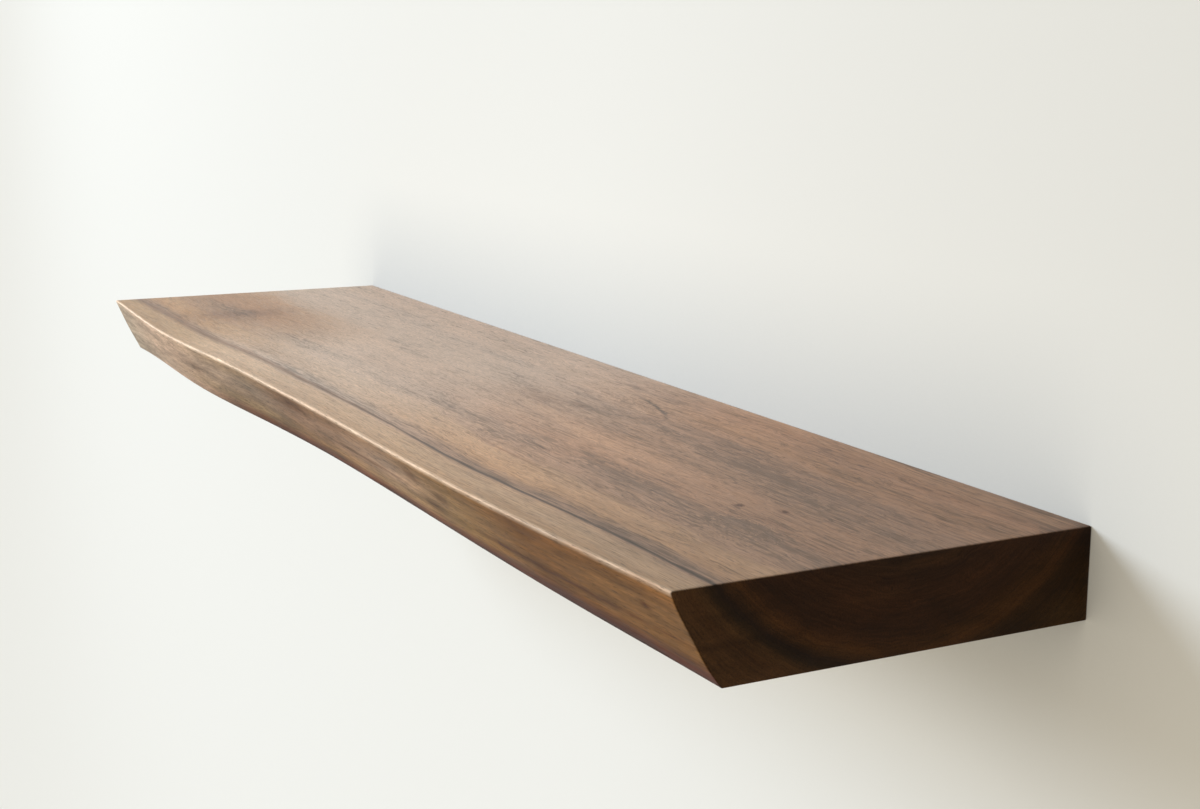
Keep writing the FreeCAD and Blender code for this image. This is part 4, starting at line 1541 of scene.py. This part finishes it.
@dataclass
class Studio:
    """A pale wall and floor, the camera, and its lights.

    A lamp and an even soft light come from the left, above and in front. A weak light from straight
    behind reaches only what is behind the wall or all but touches it.
    """

    wall_colour: str = "D9D8D3"
    floor_colour: str = "D6D4CE"
    wall_gap: float = 0.0006  # the wall stands this far behind the board, in metres
    floor_height: float = -2.35
    wall_top: float = 9.0
    wall_left: float = -14.0
    wall_right: float = 14.0
    floor_front: float = -14.0
    floor_back: float = 8.0
    key_from: Triple = (-0.75, -0.61, 0.33)
    key_away: float = 3.1
    key_size: float = 1.3
    key_watts: float = 25.0
    fill_strength: float = 5.6
    fill_softness: float = 24.0  # degrees across, seen from the shelf
    ambient: float = 0.16
    sky_colour: str = "F4F6FA"
    ground_colour: str = "E4E3DE"
    bounce: float = 0.45  # share of its own paleness that the stage throws back on the object
    room_reach: float = 0.12  # how far off the shelf the painted shade on the wall's glow reaches, in metres
    lit_gap: float = 0.004  # faces nearer to the wall than this get light through it
    rear_from: Triple = (0.0, 1.0, 0.0)
    rear_strength: float = 1.3
    matt_colour: str = "919AA2"  # the part of the stage's paleness that takes the shadow
    darker_from: tuple[float, float] = (-0.1, 1.3)  # metres along the wall
    darker_to: float = 0.50
    glow_colour: str = "B9B09D"  # the part that only the camera and reflections see
    lens: float = 50.34
    sensor: float = 36.0
    camera_at: Triple = (1.1711, -0.5910, 0.2499)
    camera_turn: tuple[float, float] = (63.266, 11.176)  # degrees left of +Y, and down

    def build(self) -> None:
        """Set up the stage, the lights and the camera."""
        scene = bpy.context.scene
        scene.view_settings.view_transform = "Standard"
        self._stage()
        self._world(scene)
        self._key()
        self._camera(scene)

    def _stage(self) -> None:
        """Put up the wall and lay the floor."""
        left, right = self.wall_left, self.wall_right
        low, top, back = self.floor_height, self.wall_top, self.wall_gap
        corners = [(left, back, low), (right, back, low), (right, back, top), (left, back, top)]
        wall = self._panel("wall", corners, self._paint("wall_paint", self.wall_colour, True))
        front, far = self.floor_front, self.floor_back
        corners = [(left, front, low), (right, front, low), (right, far, low), (left, far, low)]
        ground = self._panel("floor", corners, self._paint("floor_paint", self.floor_colour, False))

    def _panel(self, name: str, corners: list[Triple], paint: Finish) -> Piece:
        """Make one flat panel of the stage.

        Args:
            name: Name of the panel.
            corners: Its corners, anticlockwise seen from its front.
            paint: Its finish.

        Returns:
            The panel.
        """
        mesh = bpy.data.meshes.new(name)
        mesh.from_pydata(corners, [], [(0, 1, 2, 3)])
        mesh.materials.append(paint)
        return placed(name, mesh)

    def _paint(self, name: str, colour: str, one_sided: bool) -> Finish:
        """Matt emulsion that looks pale and keeps the shadow, but throws little light back.

        Args:
            name: Name of the paint.
            colour: Its colour, as sRGB hex.
            one_sided: True if the panel can't be seen from behind.

        Returns:
            The material.
        """
        graph = Graph(bpy.data.materials.new(name))
        tint = linear(colour)
        self._seen(graph)
        graph.add("dull", "BsdfDiffuse", Color=tuple(c * self.bounce for c in tint[:3]) + (1.0,))
        # painted shade: the wall's matt colour is darker towards the right
        graph.add("here", "TexCoord")
        graph.add("place", "SeparateXYZ", "here.Object")
        near, far = self.darker_from
        graph.add("dimmed", "MapRange", "place.X", near, far, 1.0, self.darker_to, **EASED)
        graph.add("grey", "VectorMath.SCALE", linear(self.matt_colour)[:3], Scale="dimmed")
        graph.add("matt", "BsdfDiffuse", Color="grey")
        # painted shade: the wall's glow is darker close to the shelf, as if the shelf kept part of the
        # room's light off it
        graph.add("open", "AmbientOcclusion", Color=linear(self.glow_colour), Distance=self.room_reach)
        graph.add("pale", "Emission", Color="open")
        graph.add("shown", "AddShader", "matt", "pale")
        graph.add("paint", "MixShader", "seen", "dull", "shown")
        last = "paint"
        if one_sided:
            graph.add("side", "NewGeometry")
            graph.add("clear", "BsdfTransparent")
            # and it lets light through to the faces that all but touch it
            graph.add("close", "Math.LESS_THAN", "path.Ray Length", self.lit_gap)
            graph.add("unseen", "Math.SUBTRACT", "close", "seen")
            graph.add("open_side", "Math.MAXIMUM", "side.Backfacing", "unseen")
            graph.add("facing", "MixShader", "open_side", "paint", "clear")
            last = "facing"
        graph.add("result", "OutputMaterial", Surface=last)
        return graph.owner

    def _seen(self, graph: Graph) -> None:
        """Add a node "seen", which is 1 for what the camera, a mirror or glass shows.

        Args:
            graph: The nodes of a stage material or the world.
        """
        graph.add("path", "LightPath")
        graph.add("seen_or_mirrored", "Math.MAXIMUM", "path.Is Camera Ray", "path.Is Glossy Ray")
        graph.add("seen", "Math.MAXIMUM", "seen_or_mirrored", "path.Is Transmission Ray")

    def _world(self, scene: bpy.types.Scene) -> None:
        """Surround it all with soft light, and with a pale ground for the camera.

        Args:
            scene: The scene.
        """
        scene.world = bpy.data.worlds.new("surround")
        graph = Graph(scene.world)
        self._seen(graph)
        graph.add("soft", "Background", Color=linear(self.sky_colour), Strength=self.ambient)
        graph.add("pale", "Background", Color=linear(self.ground_colour))
        graph.add("pick", "MixShader", "seen", "soft", "pale")
        graph.add("result", "OutputWorld", Surface="pick")

    def _key(self) -> None:
        """Hang the key lamp, the even light from its side and the weak one from behind."""
        towards = Vector(self.key_from).normalized()
        key = bpy.data.lights.new("key", "AREA")
        key.shape = "DISK"
        key.size = self.key_size
        key.energy = self.key_watts
        fill = bpy.data.lights.new("fill", "SUN")
        fill.energy = self.fill_strength
        fill.angle = math.radians(self.fill_softness)
        rear = bpy.data.lights.new("rear", "SUN")
        rear.energy = self.rear_strength
        behind = Vector(self.rear_from).normalized()
        for data, way in ((key, towards), (fill, towards), (rear, behind)):
            lamp = placed(data.name, data)
            lamp.location = way * self.key_away
            lamp.rotation_mode = "QUATERNION"
            lamp.rotation_quaternion = way.to_track_quat("Z", "Y")

    def _camera(self, scene: bpy.types.Scene) -> None:
        """Stand the camera past the right-hand end, looking along the board.

        Args:
            scene: The scene.
        """
        data = bpy.data.cameras.new("camera")
        data.lens = self.lens
        data.sensor_width = self.sensor
        data.clip_start = 0.01
        data.clip_end = 100.0
        camera = placed("camera", data)
        camera.location = self.camera_at
        turn, dip = self.camera_turn
        camera.rotation_euler = (math.radians(90.0 - dip), 0.0, math.radians(turn))
        scene.camera = camera


def main() -> None:
    """Build and dress the shelf."""
    logging.basicConfig(level=logging.INFO, format="%(name)s: %(message)s")
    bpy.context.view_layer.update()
    WalnutBoard().build()
    RodBracket().build()
    WallScrews().build()
    brass = BareMetal("turned_brass", "C8A45A", "AE8A48", 0.28).material()
    black = BareMetal("black_oxide_steel", "3A3938", "2C2B2B", 0.38).material()
    LockFitting("left", Body.LOCK_LEFT, brass, black).build()
    LockFitting("right", Body.LOCK_RIGHT, brass, black).build()
    Studio().build()


if __name__ == "__main__":
    main()
